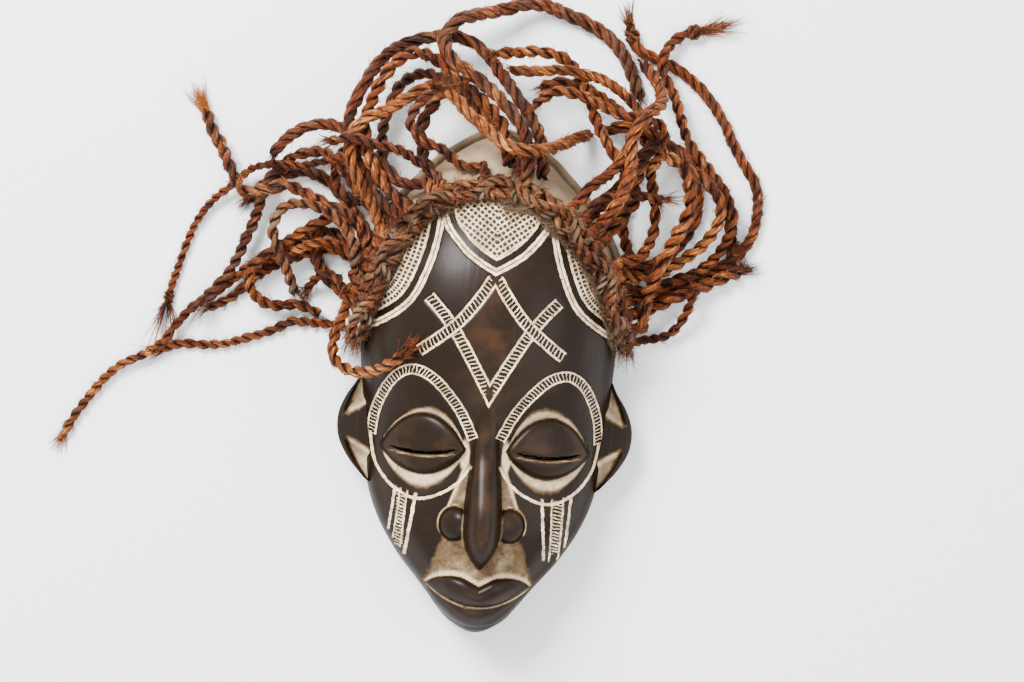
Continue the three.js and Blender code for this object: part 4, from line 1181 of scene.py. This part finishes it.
def from_line(line, x, y):
    """Distance along a smooth line, signed distance from it, positive to its left, and its length."""
    pts = spline_at(line, np.linspace(0, 1, 8 * len(line)))
    best = np.full(x.shape, 1e9)
    along = np.zeros_like(x)
    across = np.full(x.shape, 99.0)
    run = 0.0
    for k in range(len(pts) - 1):
        dx, dy = pts[k + 1] - pts[k]
        length = math.hypot(dx, dy)
        t = ((x - pts[k, 0]) * dx + (y - pts[k, 1]) * dy) / length
        low = -1e9 if k == 0 else 0.0
        high = 1e9 if k == len(pts) - 2 else length
        t = np.clip(t, low, high)
        ox, oy = x - pts[k, 0] - t * dx / length, y - pts[k, 1] - t * dy / length
        gap = np.hypot(ox, oy)
        nearer = gap < best
        best = np.where(nearer, gap, best)
        along = np.where(nearer, run + t, along)
        across = np.where(nearer, gap * np.sign(dx * oy - dy * ox), across)
        run += length
    return along, across, run


SLIT_SAG = 2.8
# How deep the bands, the fields, the grooves round the lids and those along the slits are cut
BAND_DEPTH, FIELD_DEPTH, LID_GROOVE, SLIT_GROOVE = 0.8, 0.7, 1.3, 2.2


def slit_line(t):
    return EYE_Y - SLIT_SAG * (1 - t * t)


def groove(x, y):
    """How deep the carved bands and the slits are cut into the face, in millimetres."""
    a = np.abs(x)
    depth = np.zeros_like(x)
    for line, width in ((LATTICE_A, LATTICE_WIDTH), (LATTICE_B, LATTICE_WIDTH), (BROW, BROW_WIDTH)):
        along, across, length = from_line(line, a, y)
        inside = smooth(width / 2 - np.abs(across), -0.3, 0.5)
        start = smooth(along, -0.5, 0.5) if line is BROW else y < LATTICE_TOP
        ends = start * smooth(length - along, -0.5, 0.5)
        depth = np.maximum(depth, BAND_DEPTH * inside * ends)
    for line in (CROWN_V, SIDE_PATCH):
        across = from_line(line, a, y)[1]
        depth = np.maximum(depth, FIELD_DEPTH * smooth(across, -0.2, 0.8) * (y > 15))
    rim = bell(lid_place(a, y), 1.06, 0.06) * (np.abs(a - EYE_X) < EYE_HALF + 1.5)
    lash = np.clip((a - EYE_X) / (SLIT_LENGTH / 2 + 2), -1, 1)
    slit = SLIT_GROOVE * bell(y, slit_line(lash), 1.5) * (1 - lash**6)
    return depth + LID_GROOVE * rim + slit


def skin_rows(count):
    """Places of the rows from chin to crown, closer at the ends."""
    t = np.linspace(0, 1, count + 1)
    middle, half = (CHIN_END + CROWN_END) / 2, (CROWN_END - CHIN_END) / 2
    even = 0.6
    return middle + half * (even * (2 * t - 1) - (1 - even) * np.cos(math.pi * t))


def skin_columns(count):
    v = np.linspace(-1, 1, count + 1)
    return np.sin(math.pi / 2 * (0.75 * v + 0.25 * v**3))


def skin(rows, columns, place):
    """Corners and faces of a dome that is open below: a pole, rows, and a pole."""
    ys, ss = skin_rows(rows), skin_columns(columns)
    y, s = np.meshgrid(ys[1:-1], ss, indexing="ij")
    grid = place(y, s).reshape(-1, 3)
    poles = place(np.array([ys[0], ys[-1]]), np.zeros(2))
    verts = np.concatenate([poles[:1], grid, poles[1:]])
    width = columns + 1
    faces = [(0, j + 2, j + 1) for j in range(columns)]
    for i in range(rows - 2):
        base = 1 + i * width
        for j in range(columns):
            faces.append((base + j, base + j + 1, base + width + j + 1, base + width + j))
    last = len(verts) - 1
    base = 1 + (rows - 2) * width
    faces += [(base + j, base + j + 1, last) for j in range(columns)]
    left = [0] + [1 + i * width for i in range(rows - 1)] + [last]
    right = [0] + [1 + i * width + columns for i in range(rows - 1)] + [last]
    return verts, faces, left, right


def outer_place(y, s):
    x = s * half_width(y)
    z = face_height(x, y)
    z = z - groove(x, y) * np.minimum(1, z / FULL_RELIEF_HEIGHT)
    return np.stack([x, y, z], axis=-1)


def inner_place(y, s):
    narrow = (MASK_WIDTH / 2 - WALL) / (MASK_WIDTH / 2)
    short = (MASK_LENGTH / 2 - FLANGE_WIDTH - WALL) / (MASK_LENGTH / 2 - FLANGE_WIDTH)
    low = (MASK_DEPTH - ROOF) / MASK_DEPTH
    x = s * half_width(y)
    ripple = 0.25 * np.sin(x * 0.9 + 0.4 * np.sin(y * 0.13)) * np.sin(y * 0.31)
    z = shell_height(x, y) * low
    return np.stack([x * narrow, y * short, z + ripple * np.minimum(1, z / 15)], axis=-1)


SKIN_ROWS = 330
SKIN_COLUMNS = 262
INNER_COLUMNS = 30


def mask_body():
    verts, faces, left, right = skin(SKIN_ROWS, SKIN_COLUMNS, outer_place)
    inner, inner_faces, inner_left, inner_right = skin(SKIN_ROWS, INNER_COLUMNS, inner_place)
    shift = len(verts)
    faces += turned_over(inner_faces, shift)
    for outer_side, inner_side, turned in ((left, inner_left, False), (right, inner_right, True)):
        for k in range(SKIN_ROWS):
            a, b = outer_side[k], outer_side[k + 1]
            c, d = shift + inner_side[k + 1], shift + inner_side[k]
            faces.append((a, d, c, b) if turned else (a, b, c, d))
    return new_mesh("mask_body", np.concatenate([verts, inner]), faces)


CUTTER_LOW, CUTTER_HIGH = 20.0, 110.0


def slit_cutter(side):
    """A thin upright blade along the opening between the lids."""
    steps = 24
    t = np.linspace(-1, 1, steps + 1)
    x = side * (EYE_X + t * SLIT_LENGTH / 2)
    y = slit_line(t)
    gape = SLIT_HEIGHT / 2 * np.maximum(0.15, 1 - t**4)
    verts = []
    for k in range(steps + 1):
        for dy in (-gape[k], gape[k]):
            verts += [(x[k], y[k] + dy, CUTTER_LOW), (x[k], y[k] + dy, CUTTER_HIGH)]
    faces = []
    for k in range(steps):
        a, b = 4 * k, 4 * k + 4
        faces += [(a, a + 1, b + 1, b), (a + 2, b + 2, b + 3, a + 3)]
        faces += [(a, b, b + 2, a + 2), (a + 1, a + 3, b + 3, b + 1)]
    end = 4 * steps
    faces += [(0, 2, 3, 1), (end, end + 1, end + 3, end + 2)]
    if side > 0:
        faces = turned_over(faces)
    cutter = new_mesh("slit_cutter", verts, faces, smooth_shading=False)
    cutter.data.validate()
    return cutter


def cut_slits(body):
    for side in (-1, 1):
        cutter = slit_cutter(side)
        modifier = body.modifiers.new("slit", "BOOLEAN")
        modifier.operation = "DIFFERENCE"
        modifier.solver = "EXACT"
        modifier.object = cutter
        with bpy.context.temp_override(object=body, active_object=body, selected_objects=[body]):
            bpy.ops.object.modifier_apply(modifier=modifier.name)
        bpy.data.objects.remove(cutter)


def mark_mask(piece):
    """Gives a wooden piece the coordinates of its carved lines, and its shares of clay and wear."""
    count = len(piece.data.vertices)
    co = np.empty(count * 3)
    piece.data.vertices.foreach_get("co", co)
    x, y, z = (co.reshape(-1, 3) / MM).T
    normals = np.empty(count * 3)
    piece.data.vertex_normals.foreach_get("vector", normals)
    up = normals.reshape(-1, 3)[:, 2]
    a = np.abs(x)
    for name, line in CARVED_LINES.items():
        along, across, _ = from_line(line, a, y)
        set_attribute(piece, name, "FLOAT_VECTOR", np.column_stack([along, across, np.zeros(count)]))
    outside = z > np.maximum(shell_height(x, y) * 0.9, 0.5)
    behind_hairline = from_line(HAIRLINE, x, y)[1]
    bare = smooth(behind_hairline, 2, 5)
    set_attribute(piece, "bare", "FLOAT", np.where(outside, bare, 1.0))
    set_attribute(piece, "clay", "FLOAT", clay_share(x, y) * outside)
    set_attribute(piece, "wear", "FLOAT", wear_share(a, y) * smooth(up, 0.1, 0.6))


def wear_share(a, y):
    """How far the stain is rubbed to brown: on the nose, forehead, wings, lips and lids."""
    ridge = 0.5 * bell(a, 0, 5.0) * band(y, -104, -90, -30, -5)
    forehead = 0.6 * bell(a, 0, 15.0) * bell(y, 20, 38.0)
    wings = mound(boss, (16, -83, 9, 11, 0.45), a, y)
    lips = 0.4 * bell(a, 0, 26.0) * bell(y, -127, 10.0)
    lids = 0.35 * bell(lid_place(a, y), 0, 0.7)
    return np.max([ridge, forehead, wings, lips, lids], axis=0)


def clay_round_eye(x, y):
    """Clay over the lid, in a crescent under it, in its inner corner and under its slit."""
    a = np.abs(x)
    beyond = (lid_place(a, y) - 1) * 16
    beside_eye = 1 - smooth(np.abs(a - EYE_X), EYE_HALF - 1, EYE_HALF + 4)
    towards_nose = smooth(EYE_X - a, -10, 22)
    wide = np.where(x > 0, 1.7, 1.1)
    fade = 1 - smooth(beyond, (0.8 + 1.2 * towards_nose) * wide, (3.6 + 3 * towards_nose) * wide)
    over = 0.95 * smooth(beyond, -0.2, 1.2) * fade * (y > EYE_Y) * beside_eye
    crescent = 0.9 * band(beyond, 0.0, 2.2, 6.0, 14.0) * smooth(EYE_Y - y, 0.0, 6.0) * beside_eye
    corner = 1 - smooth(np.hypot((a - 12.0) / 3.2, (y + 43.0) / 10.0), 0.6, 1.3)
    t = np.clip((a - EYE_X) / (SLIT_LENGTH / 2 + 3), -1, 1)
    under_slit = 0.8 * bell(y, slit_line(t) - 1.7, 0.8) * (1 - t**8)
    return [over, crescent, corner * smooth(beyond, 0.0, 1.5), under_slit]


def beside_nose(a, y):
    return a - look_up(NOSE_WIDTH_SAMPLES, y)


def from_wing(a, y):
    """0 at the middle of the nose's wing and 1 on its edge."""
    return np.hypot((a - WING[0]) / WING[2], (y - WING[1]) / WING[3])


def clay_by_nose(a, y):
    """Clay in a strip beside the nose, in the seam at its foot and round its wing."""
    away, wing = beside_nose(a, y), from_wing(a, y)
    outer = 11.5 + 0.36 * (-46 - y)
    strip = smooth(away, -0.2, 0.8) * (1 - smooth(a - outer, -1.4, 1.2))
    strip = strip * smooth(wing, 1.0, 1.06) * band(y, -84, -78, -50, -42)
    strip = strip * (0.62 + 0.38 * bell(a, outer - 1.2, 1.2))
    seam = 0.75 * bell(away, 0.5, 0.7) * band(y, -99, -94, -80, -74)
    rim = 0.9 * bell(wing, 1.08, 0.07) * smooth(y, WING[1] - 9, WING[1] - 3) * (a > WING[0] - 3)
    return [strip, seam, rim]


def clay_by_mouth(a, y):
    """Clay in the panel between the nose and the upper lip, and between the lips."""
    lip = upper_lip(a)
    reach = 22.5 + 9.0 * (-87 - y) / 27
    panel = smooth(y - lip, -0.5, 0.6) * (1 - smooth(y, -93, -86)) * (1 - smooth(a - reach, -4, 3))
    panel = panel * smooth(beside_nose(a, y), -0.7, 0.1) * smooth(from_wing(a, y), 0.97, 1.03)
    panel = panel * (0.62 + 0.38 * bell(y, lip + 1.4, 1.7))
    return [panel, 0.8 * bell(y, mouth_line(a) - 0.4, 1.0) * (a < MOUTH_HALF)]


def clay_share(x, y):
    """How much pale clay lies on the face, before the shader breaks up its edges."""
    a = np.abs(x)
    return np.max([*clay_round_eye(x, y), *clay_by_nose(a, y), *clay_by_mouth(a, y)], axis=0)


# How far in from an ear's edge its rim is rounded, and by how much it drops
EAR_ROUNDING, EAR_DROP = 3.5, 3.0
EAR_ROWS, EAR_COLUMNS = 72, 30


def ear_mesh(side):
    rows, columns = EAR_ROWS, EAR_COLUMNS
    verts, faces = [], []
    ys = np.linspace(EAR_LOW, EAR_HIGH, rows + 1)
    for layer in (0, 1):
        for y in ys:
            edge = float(ear_edge(np.array([y]))[0])
            x = EAR_INNER + (edge - EAR_INNER) * np.arange(columns + 1) / columns
            z = ear_top(x, np.full_like(x, y)) if layer == 0 else np.full_like(x, EAR_BOTTOM)
            roll = np.clip((x - edge + EAR_ROUNDING) / EAR_ROUNDING, 0, 1)
            z = z - EAR_DROP * roll**3 if layer == 0 else z
            verts += [(side * a, y, b) for a, b in zip(x, z)]
    size, width = (rows + 1) * (columns + 1), columns + 1
    for i in range(rows):
        for j in range(columns):
            a = i * width + j
            faces.append((a, a + 1, a + width + 1, a + width))
            faces.append((size + a, size + a + width, size + a + width + 1, size + a + 1))
        a, b = i * width + columns, (i + 1) * width + columns
        faces.append((a, size + a, size + b, b))
        a, b = i * width, (i + 1) * width
        faces.append((a, b, size + b, size + a))
    for j in range(columns):
        faces.append((j, size + j, size + j + 1, j + 1))
        a = rows * width + j
        faces.append((a, a + 1, size + a + 1, size + a))
    if side < 0:
        faces = turned_over(faces)
    piece = new_mesh(f"ear_{'left' if side < 0 else 'right'}", verts, faces)
    xyz = np.array(verts)
    v = ear_raised(np.abs(xyz[:, 0]), xyz[:, 1])[1]
    from_boss = np.abs(xyz[:, 1] - EAR_MIDDLE) / (EAR_HIGH - EAR_MIDDLE) - 0.05 - 0.3 * (1 - v)
    hollow = smooth(from_boss, -0.05, 0.1) * (1 - smooth(v, 0.62, 0.84)) * (xyz[:, 2] > EAR_BOTTOM + 1)
    # Less clay towards the rim: the hollow is paler near the face and darker near the rim
    set_attribute(piece, "clay", "FLOAT", hollow * (0.7 + 0.3 * (1 - v)))
    return piece


# The ledge's section: how far out, by its width, or in millimetres where negative, and how high
LEDGE_SECTION = [
    (-4.0, 0.0), (1.0, 0.0), (1.0, 0.7), (0.86, 0.93), (0.6, 1.0), (0.3, 0.93), (0.1, 0.6), (-4.0, 0.55),
]
LEDGE_RUN_IN = 52.0


def flange_mesh():
    """The ledge round the crown's foot, swept along the outline with a rounded top."""
    right = OUTLINE_SAMPLES[OUTLINE_SAMPLES[:, 0] > FLANGE_START]
    points = np.column_stack([right[:, 1], right[:, 0]])
    normal = -left_of(points)
    normal[-1] = (0.0, 1.0)
    normal = unit(normal)
    fade = np.clip((right[:, 0] - FLANGE_START) / LEDGE_RUN_IN, 0, 1)
    rings = []
    for p, n, f in zip(points, normal, fade):
        out = FLANGE_WIDTH * f - 0.5 * (1 - f)
        ring = []
        for reach, height in LEDGE_SECTION:
            d = reach if reach < 0 else reach * out
            ring.append((p[0] + n[0] * d, p[1] + n[1] * d, FLANGE_HEIGHT * height))
        rings.append(ring)
    mirrored = [[(-x, y, z) for x, y, z in ring] for ring in reversed(rings[:-1])]
    rings = rings + mirrored
    faces = tube_faces(len(rings), len(LEDGE_SECTION), 0)
    return new_mesh("crown_flange", [p for ring in rings for p in ring], faces)


DARK_WOOD = (0.0088, 0.0045, 0.0020)
BROWN_WOOD = (0.0140, 0.0074, 0.0036)
WORN_WOOD = (0.050, 0.0215, 0.0085)
BARE_DARK = (0.13, 0.08, 0.045)
BARE_PALE = (0.40, 0.29, 0.18)
THIN_CLAY, THICK_CLAY, CLAY_SPECKS = (0.10, 0.059, 0.027), (0.61, 0.465, 0.285), (0.07, 0.038, 0.02)
LINE_DULL, LINE_PALE, LINE_STAIN = (0.40, 0.265, 0.14), (0.93, 0.745, 0.485), (0.24, 0.155, 0.085)
LEDGE_SHADE, LEDGE_GRIME = (0.07, 0.042, 0.024), (0.10, 0.065, 0.04)


def wood_colours(shader):
    """Dark stained wood with browner worn places: its colour, its grain, its clouds and its shine."""
    place = shader.place()
    grain = shader.noise(shader.scaled(place, (160.0, 22.0, 60.0)), 1.0, 5.0, 0.6)
    cloud = shader.noise(place, 34.0, 4.0)
    wear = shader.attribute("wear")["Fac"]
    brown = shader.step(shader.added(cloud, shader.times(wear, 0.32)), 0.5, 0.78)
    colour = shader.mix(brown, DARK_WOOD, BROWN_WOOD)
    worn = shader.times(wear, shader.step(shader.noise(place, 60.0, 5.0), 0.41, 0.68))
    colour = shader.mix(worn, colour, WORN_WOOD)
    streak = shader.step(grain, 0.62, 0.8)
    colour = shader.mix(shader.times(streak, 0.16), colour, WORN_WOOD)
    facing = shader.parts(shader.tree.nodes.new("ShaderNodeNewGeometry").outputs["Normal"])[2]
    shine = shader.linear(shader.step(facing, 0.35, 0.92), 0.22, 0.015)
    return colour, grain, cloud, shine


def hatched(shader, name, width, border, pitch, rungs, span, wobble, clear):
    """A band with pale borders and slanted pale rungs, on a line's own coordinates."""
    u, v, _ = shader.parts(shader.attribute(name)["Vector"])
    inside = shader.within(u, *span, 0.2)
    u = shader.added(shader.linear(v, 0.22, u), shader.times(wobble, 1.4))
    v = shader.absolute(shader.linear(wobble, 0.6, v))
    inside = shader.times(inside, shader.step(v, width / 2 + 0.12, width / 2 - 0.12))
    edge = shader.step(v, width / 2 - border - 0.12, width / 2 - border + 0.12)
    phase = shader.phase(u, pitch)
    rung = shader.times(shader.within(phase, *rungs, 0.07), clear)
    return shader.times(shader.most(edge, rung), inside), inside


def squares(shader, across, up, pitch):
    """Rows of small squares."""
    column = shader.within(shader.phase(across, pitch), 0.15, 0.87, 0.07)
    return shader.times(column, shader.within(shader.phase(up, pitch), 0.17, 0.83, 0.07))


def dotted(shader, v, holes, wobble):
    """Two pale lines, a dark band and a pale field. Small dark squares fill it inside a plain border."""
    v = shader.linear(wobble, 0.7, v)
    first = shader.within(v, 0.0, 1.7, 0.15)
    second = shader.within(v, 2.2, 3.9, 0.15)
    field = shader.step(v, 7.3, 7.7)
    open_field = shader.times(shader.step(v, 8.7, 9.1), 0.96)
    pale = shader.times(field, shader.less(1.0, shader.times(holes, open_field)))
    return shader.most(first, second, pale)


def cheek_marks(shader, x, y, wobble):
    """Pale scratched lines down both cheeks, with rungs between two of them."""
    marks = []
    for top_x, low_x, top_y, low_y, width in CHEEK_LINES:
        slope = (low_x - top_x) / (low_y - top_y)
        middle = shader.linear(y, slope, top_x - slope * top_y)
        away = shader.absolute(shader.added(shader.less(x, middle), wobble))
        near = shader.step(away, width / 2 + 0.15, width / 2 - 0.15)
        marks.append(shader.times(near, shader.within(y, low_y, top_y, 1.0)))
    slanted = shader.added(shader.linear(x, 0.25, y), shader.times(wobble, 1.6))
    rung = shader.within(shader.phase(slanted, 2.0), 0.3, 0.72, 0.08)
    rung = shader.times(rung, shader.within(y, -99.0, -68.0, 1.0))
    for low, high in CHEEK_RUNGS:
        marks.append(shader.times(rung, shader.within(x, low, high, 0.3)))
    return shader.most(*marks)


def clay_cover(shader, place):
    """Where clay lies, with patchy edges, and its tone: tan where it is thin, cream where it is thick."""
    clay = shader.attribute("clay")["Fac"]
    ragged = shader.less(shader.noise(place, 170.0, 6.0, 0.7), 0.5)
    thick = shader.linear(ragged, 1.1, clay)
    cover = shader.times(shader.step(thick, 0.22, 0.66), shader.step(clay, 0.04, 0.3))
    cloud = shader.less(shader.noise(place, 75.0, 4.0), 0.5)
    uneven = shader.linear(cloud, 0.55, shader.times(ragged, 0.45))
    tone = shader.step(shader.added(clay, uneven), 0.55, 1.05)
    colour = shader.mix(tone, THIN_CLAY, THICK_CLAY)
    specks = shader.step(shader.noise(place, 330.0, 4.0, 0.7), 0.56, 0.70)
    colour = shader.mix(shader.times(specks, 0.6), colour, CLAY_SPECKS)
    return shader.times(cover, 0.95), colour


def pale_tone(shader, place):
    """The clay in the carved lines."""
    patches = shader.step(shader.noise(place, 190.0, 4.0), 0.28, 0.66)
    tone = shader.mix(patches, LINE_DULL, LINE_PALE)
    stain = shader.step(shader.noise(place, 55.0, 4.0), 0.5, 0.72)
    return shader.mix(shader.times(stain, 0.45), tone, LINE_STAIN)


def bare_tone(shader, place):
    grain = shader.noise(shader.scaled(place, (110.0, 25.0, 60.0)), 1.0, 4.0)
    return shader.mix(grain, BARE_DARK, BARE_PALE)


# By line: the band's width, its borders' width, and the pitch and the share of the rungs
BANDS = {
    "lattice_a": (LATTICE_A, LATTICE_WIDTH, 1.25, 2.4, (0.36, 0.63)),
    "lattice_b": (LATTICE_B, LATTICE_WIDTH, 1.25, 2.4, (0.36, 0.63)),
    "brow": (BROW, BROW_WIDTH, 1.0, 2.1, (0.35, 0.63)),
}


def band_masks(shader, side, y, wobble):
    """Where the lattice and the brows are pale. Each band covers those after it."""
    masks = []
    covered = 0.0
    clear = shader.step(side, 1.6, 2.4)
    below_crown = shader.step(y, LATTICE_TOP + 0.4, LATTICE_TOP - 0.4)
    for name, (line, width, border, pitch, rungs) in BANDS.items():
        length = from_line(line, np.zeros(1), np.zeros(1))[2]
        span = (0.3 if line is BROW else -20.0, length - 0.3)
        pale, inside = hatched(shader, name, width, border, pitch, rungs, span, wobble, clear)
        inside = shader.times(inside, below_crown)
        pale = shader.times(pale, below_crown)
        masks.append(shader.times(pale, shader.less(1.0, covered)))
        covered = shader.most(covered, inside)
    return masks


def field_masks(shader, side, y, wobble):
    """Where the borders and the fields of small squares under the hairline are pale."""
    masks = []
    high = shader.step(y, 16.0, 19.0)
    lean = math.radians(SQUARES_LEAN)
    turned_u = shader.linear(side, math.cos(lean), shader.times(y, math.sin(lean)))
    turned_v = shader.linear(side, -math.sin(lean), shader.times(y, math.cos(lean)))
    for name in ("crown_v", "side_patch"):
        u, v, _ = shader.parts(shader.attribute(name)["Vector"])
        grid = (turned_u, turned_v) if name == "crown_v" else (u, v)
        grid = [shader.linear(wobble, 0.6, part) for part in grid]
        holes = squares(shader, *grid, SQUARES_PITCH)
        masks.append(shader.times(dotted(shader, v, holes, wobble), high))
    return masks


def under_eye_mask(shader, wobble):
    u, v, _ = shader.parts(shader.attribute("under_eye")["Vector"])
    line = shader.within(shader.linear(wobble, 0.8, v), -0.95, 0.85, 0.2)
    return shader.times(line, shader.within(u, 0.0, 88.0, 1.5))


def carved_wood():
    """Stained wood with the carved pattern in pale clay, clay smeared on the face, and a bare crown."""
    shader = Shader("carved_wood")
    colour, grain, cloud, shine = wood_colours(shader)
    place = shader.place()
    x, y, _ = shader.parts(shader.scaled(place, (1 / MM, 1 / MM, 1 / MM)))
    side = shader.absolute(x)
    wobble = shader.linear(shader.noise(place, 300.0, 3.0), 1.7, -0.85)
    masks = band_masks(shader, side, y, wobble) + field_masks(shader, side, y, wobble)
    masks += [under_eye_mask(shader, wobble), cheek_marks(shader, x, y, wobble)]
    pale = shader.most(*masks)
    bare = shader.attribute("bare")["Fac"]
    rubbed = shader.step(shader.noise(place, 420.0, 3.0), 0.24, 0.38)
    lines = shader.times(shader.times(pale, rubbed), shader.less(1.0, bare))
    smear, smear_tone = clay_cover(shader, place)
    colour = shader.mix(smear, colour, smear_tone)
    colour = shader.mix(lines, colour, pale_tone(shader, place))
    everywhere = shader.most(lines, smear)
    colour = shader.mix(bare, colour, bare_tone(shader, place))
    rough = shader.linear(shader.most(everywhere, bare), 0.42, 0.36)
    rough = shader.added(rough, shader.linear(cloud, 0.3, -0.15), clamp=True)
    normal = shader.bump(shader.less(1.0, lines), 0.0007)
    normal = shader.bump(shader.linear(cloud, 0.6, grain), 0.0006, 0.4, normal)
    return shader.finish(colour, rough, normal, shine)


def ear_wood():
    shader = Shader("dark_wood")
    colour, grain, cloud, shine = wood_colours(shader)
    place = shader.place()
    smear, smear_tone = clay_cover(shader, place)
    colour = shader.mix(smear, colour, smear_tone)
    rough = shader.linear(smear, 0.4, 0.42)
    normal = shader.bump(shader.linear(cloud, 0.6, grain), 0.0006, 0.4)
    return shader.finish(colour, rough, normal, shine)


def bare_wood():
    shader = Shader("bare_wood")
    place = shader.place()
    tone = shader.mix(0.35, bare_tone(shader, place), LEDGE_SHADE)
    grime = shader.step(shader.noise(place, 60.0, 5.0), 0.5, 0.75)
    colour = shader.mix(shader.times(grime, 0.5), tone, LEDGE_GRIME)
    return shader.finish(colour, 0.8, shader.bump(grime, 0.0005), specular=0.25)


def make_mask():
    body = mask_body()
    cut_slits(body)
    mark_mask(body)
    dress(body, carved_wood())
    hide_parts("carved_mask")
    wood = ear_wood()
    for side in (-1, 1):
        dress(ear_mesh(side), wood)
    dress(flange_mesh(), bare_wood())


make_mask()


# Dusty matted fibres along the inner edge of the hairline, and a tuft at each temple
def matted_edge():
    line, _, tangent, _, _ = fine_line(laid_ropes[0][1], 1.0)
    count = 2600
    k = RANDOM.integers(2, len(line) - 2, count)
    inward = unit(np.column_stack([tangent[k, 1], -tangent[k, 0]]))
    width = np.where(line[k, 0] > 0, 6.5, 4.0)
    away = 1.5 + (width - 1.5) * RANDOM.uniform(0, 1, count) ** 1.3
    xy = line[k, :2] + inward * away[:, None]
    z = face_height(xy[:, 0], xy[:, 1]) + RANDOM.uniform(0.2, 1.8, count)
    direction = tangent[k] * RANDOM.choice([-1.0, 1.0], count)[:, None]
    direction += RANDOM.normal(size=(count, 3)) * 0.35
    sense = np.sign(np.sum(direction * tangent[k], axis=1))
    direction[:, 2] = np.abs(direction[:, 2]) * 0.3 + tangent[k, 2] * sense
    lengths = RANDOM.uniform(3, 9, count)
    fibres = hairs(np.column_stack([xy, z]), direction, lengths, radius=0.2, curl=0.35)
    fuzz_piece("matted_hairline", fibres, "grey")


# Knots of matted fibre on the inner edge of the hairline: plan place, radius and number of fibres
MATTED_KNOTS = (
    (7.0, 103.0, 6.5, 260),
    (14.0, 100.5, 5.0, 170),
    (33.0, 89.5, 6.0, 220),
    (-30.0, 97.0, 4.5, 120),
    (-58.0, 66.0, 4.0, 90),
    (60.0, 58.0, 4.0, 90),
)


def matted_knots():
    knots = []
    for x, y, radius, count in MATTED_KNOTS:
        spread = RANDOM.normal(size=(count, 2)) * radius * 0.42
        xy = np.array((x, y)) + spread
        lift = np.exp(-np.sum(spread**2, axis=1) / radius**2) * radius * 0.5
        z = face_height(xy[:, 0], xy[:, 1]) + RANDOM.uniform(0.2, 1.0, count) * lift + 0.3
        direction = RANDOM.normal(size=(count, 3)) * (1.0, 1.0, 0.35)
        lengths = RANDOM.uniform(2, 5, count)
        knots.append(hairs(np.column_stack([xy, z]), direction, lengths, radius=0.24, curl=0.6))
    fuzz_piece("matted_knots", joined(knots), "grey")


def temple_tufts():
    for name, index, lean in (("left", 0, -1.0), ("right", -1, 1.0)):
        ends = [nodes[index] for _, nodes in laid_ropes[:2]]
        count = 170
        share = RANDOM.uniform(0, 1, (count, 1))
        starts = ends[0] * (1 - share) + ends[1] * share + RANDOM.normal(size=(count, 3)) * 1.2
        starts[:, 1] += 3.0
        down = np.array([0.15 * lean, -1.0, -0.55])
        direction = down + RANDOM.normal(size=(count, 3)) * 0.25
        lengths = RANDOM.uniform(6, 13, count)
        fibres = hairs(starts, direction, lengths, radius=0.28, curl=0.25)
        fuzz_piece(f"tuft_{name}", fibres, "dusty")


matted_edge()
matted_knots()
temple_tufts()


# Floor and light: each lamp's place, its size in metres and its power
LAMPS = {
    "key": ((-0.8, 1.0, 1.4), 0.7, 112.0),
    "fill": ((1.1, -0.3, 1.4), 1.2, 14.0),
    "low": ((-0.2, -1.3, 1.2), 1.0, 12.0),
}
FLOOR_COLOUR = (0.93, 0.93, 0.925, 1.0)
SKY_COLOUR = (0.95, 0.97, 1.0, 1.0)
SKY_STRENGTH = 1.65


def floor_and_light():
    mesh = bpy.data.meshes.new("floor")
    mesh.from_pydata([(-3, -3, 0), (3, -3, 0), (3, 3, 0), (-3, 3, 0)], [], [(0, 1, 2, 3)])
    floor = bpy.data.objects.new("floor", mesh)
    scene.collection.objects.link(floor)
    shader = Shader("floor")
    mesh.materials.append(shader.finish(FLOOR_COLOUR, roughness=0.9, specular=0.2))
    for name, (place, size, power) in LAMPS.items():
        data = bpy.data.lights.new(name, "AREA")
        data.size = size
        data.energy = power
        light = bpy.data.objects.new(name, data)
        light.location = place
        light.rotation_euler = (Vector((0, 0.03, 0)) - Vector(place)).to_track_quat("-Z", "Y").to_euler()
        scene.collection.objects.link(light)
    world = bpy.data.worlds.new("studio")
    world.use_nodes = True
    background = world.node_tree.nodes["Background"]
    background.inputs["Color"].default_value = SKY_COLOUR
    background.inputs["Strength"].default_value = SKY_STRENGTH
    scene.world = world


floor_and_light()
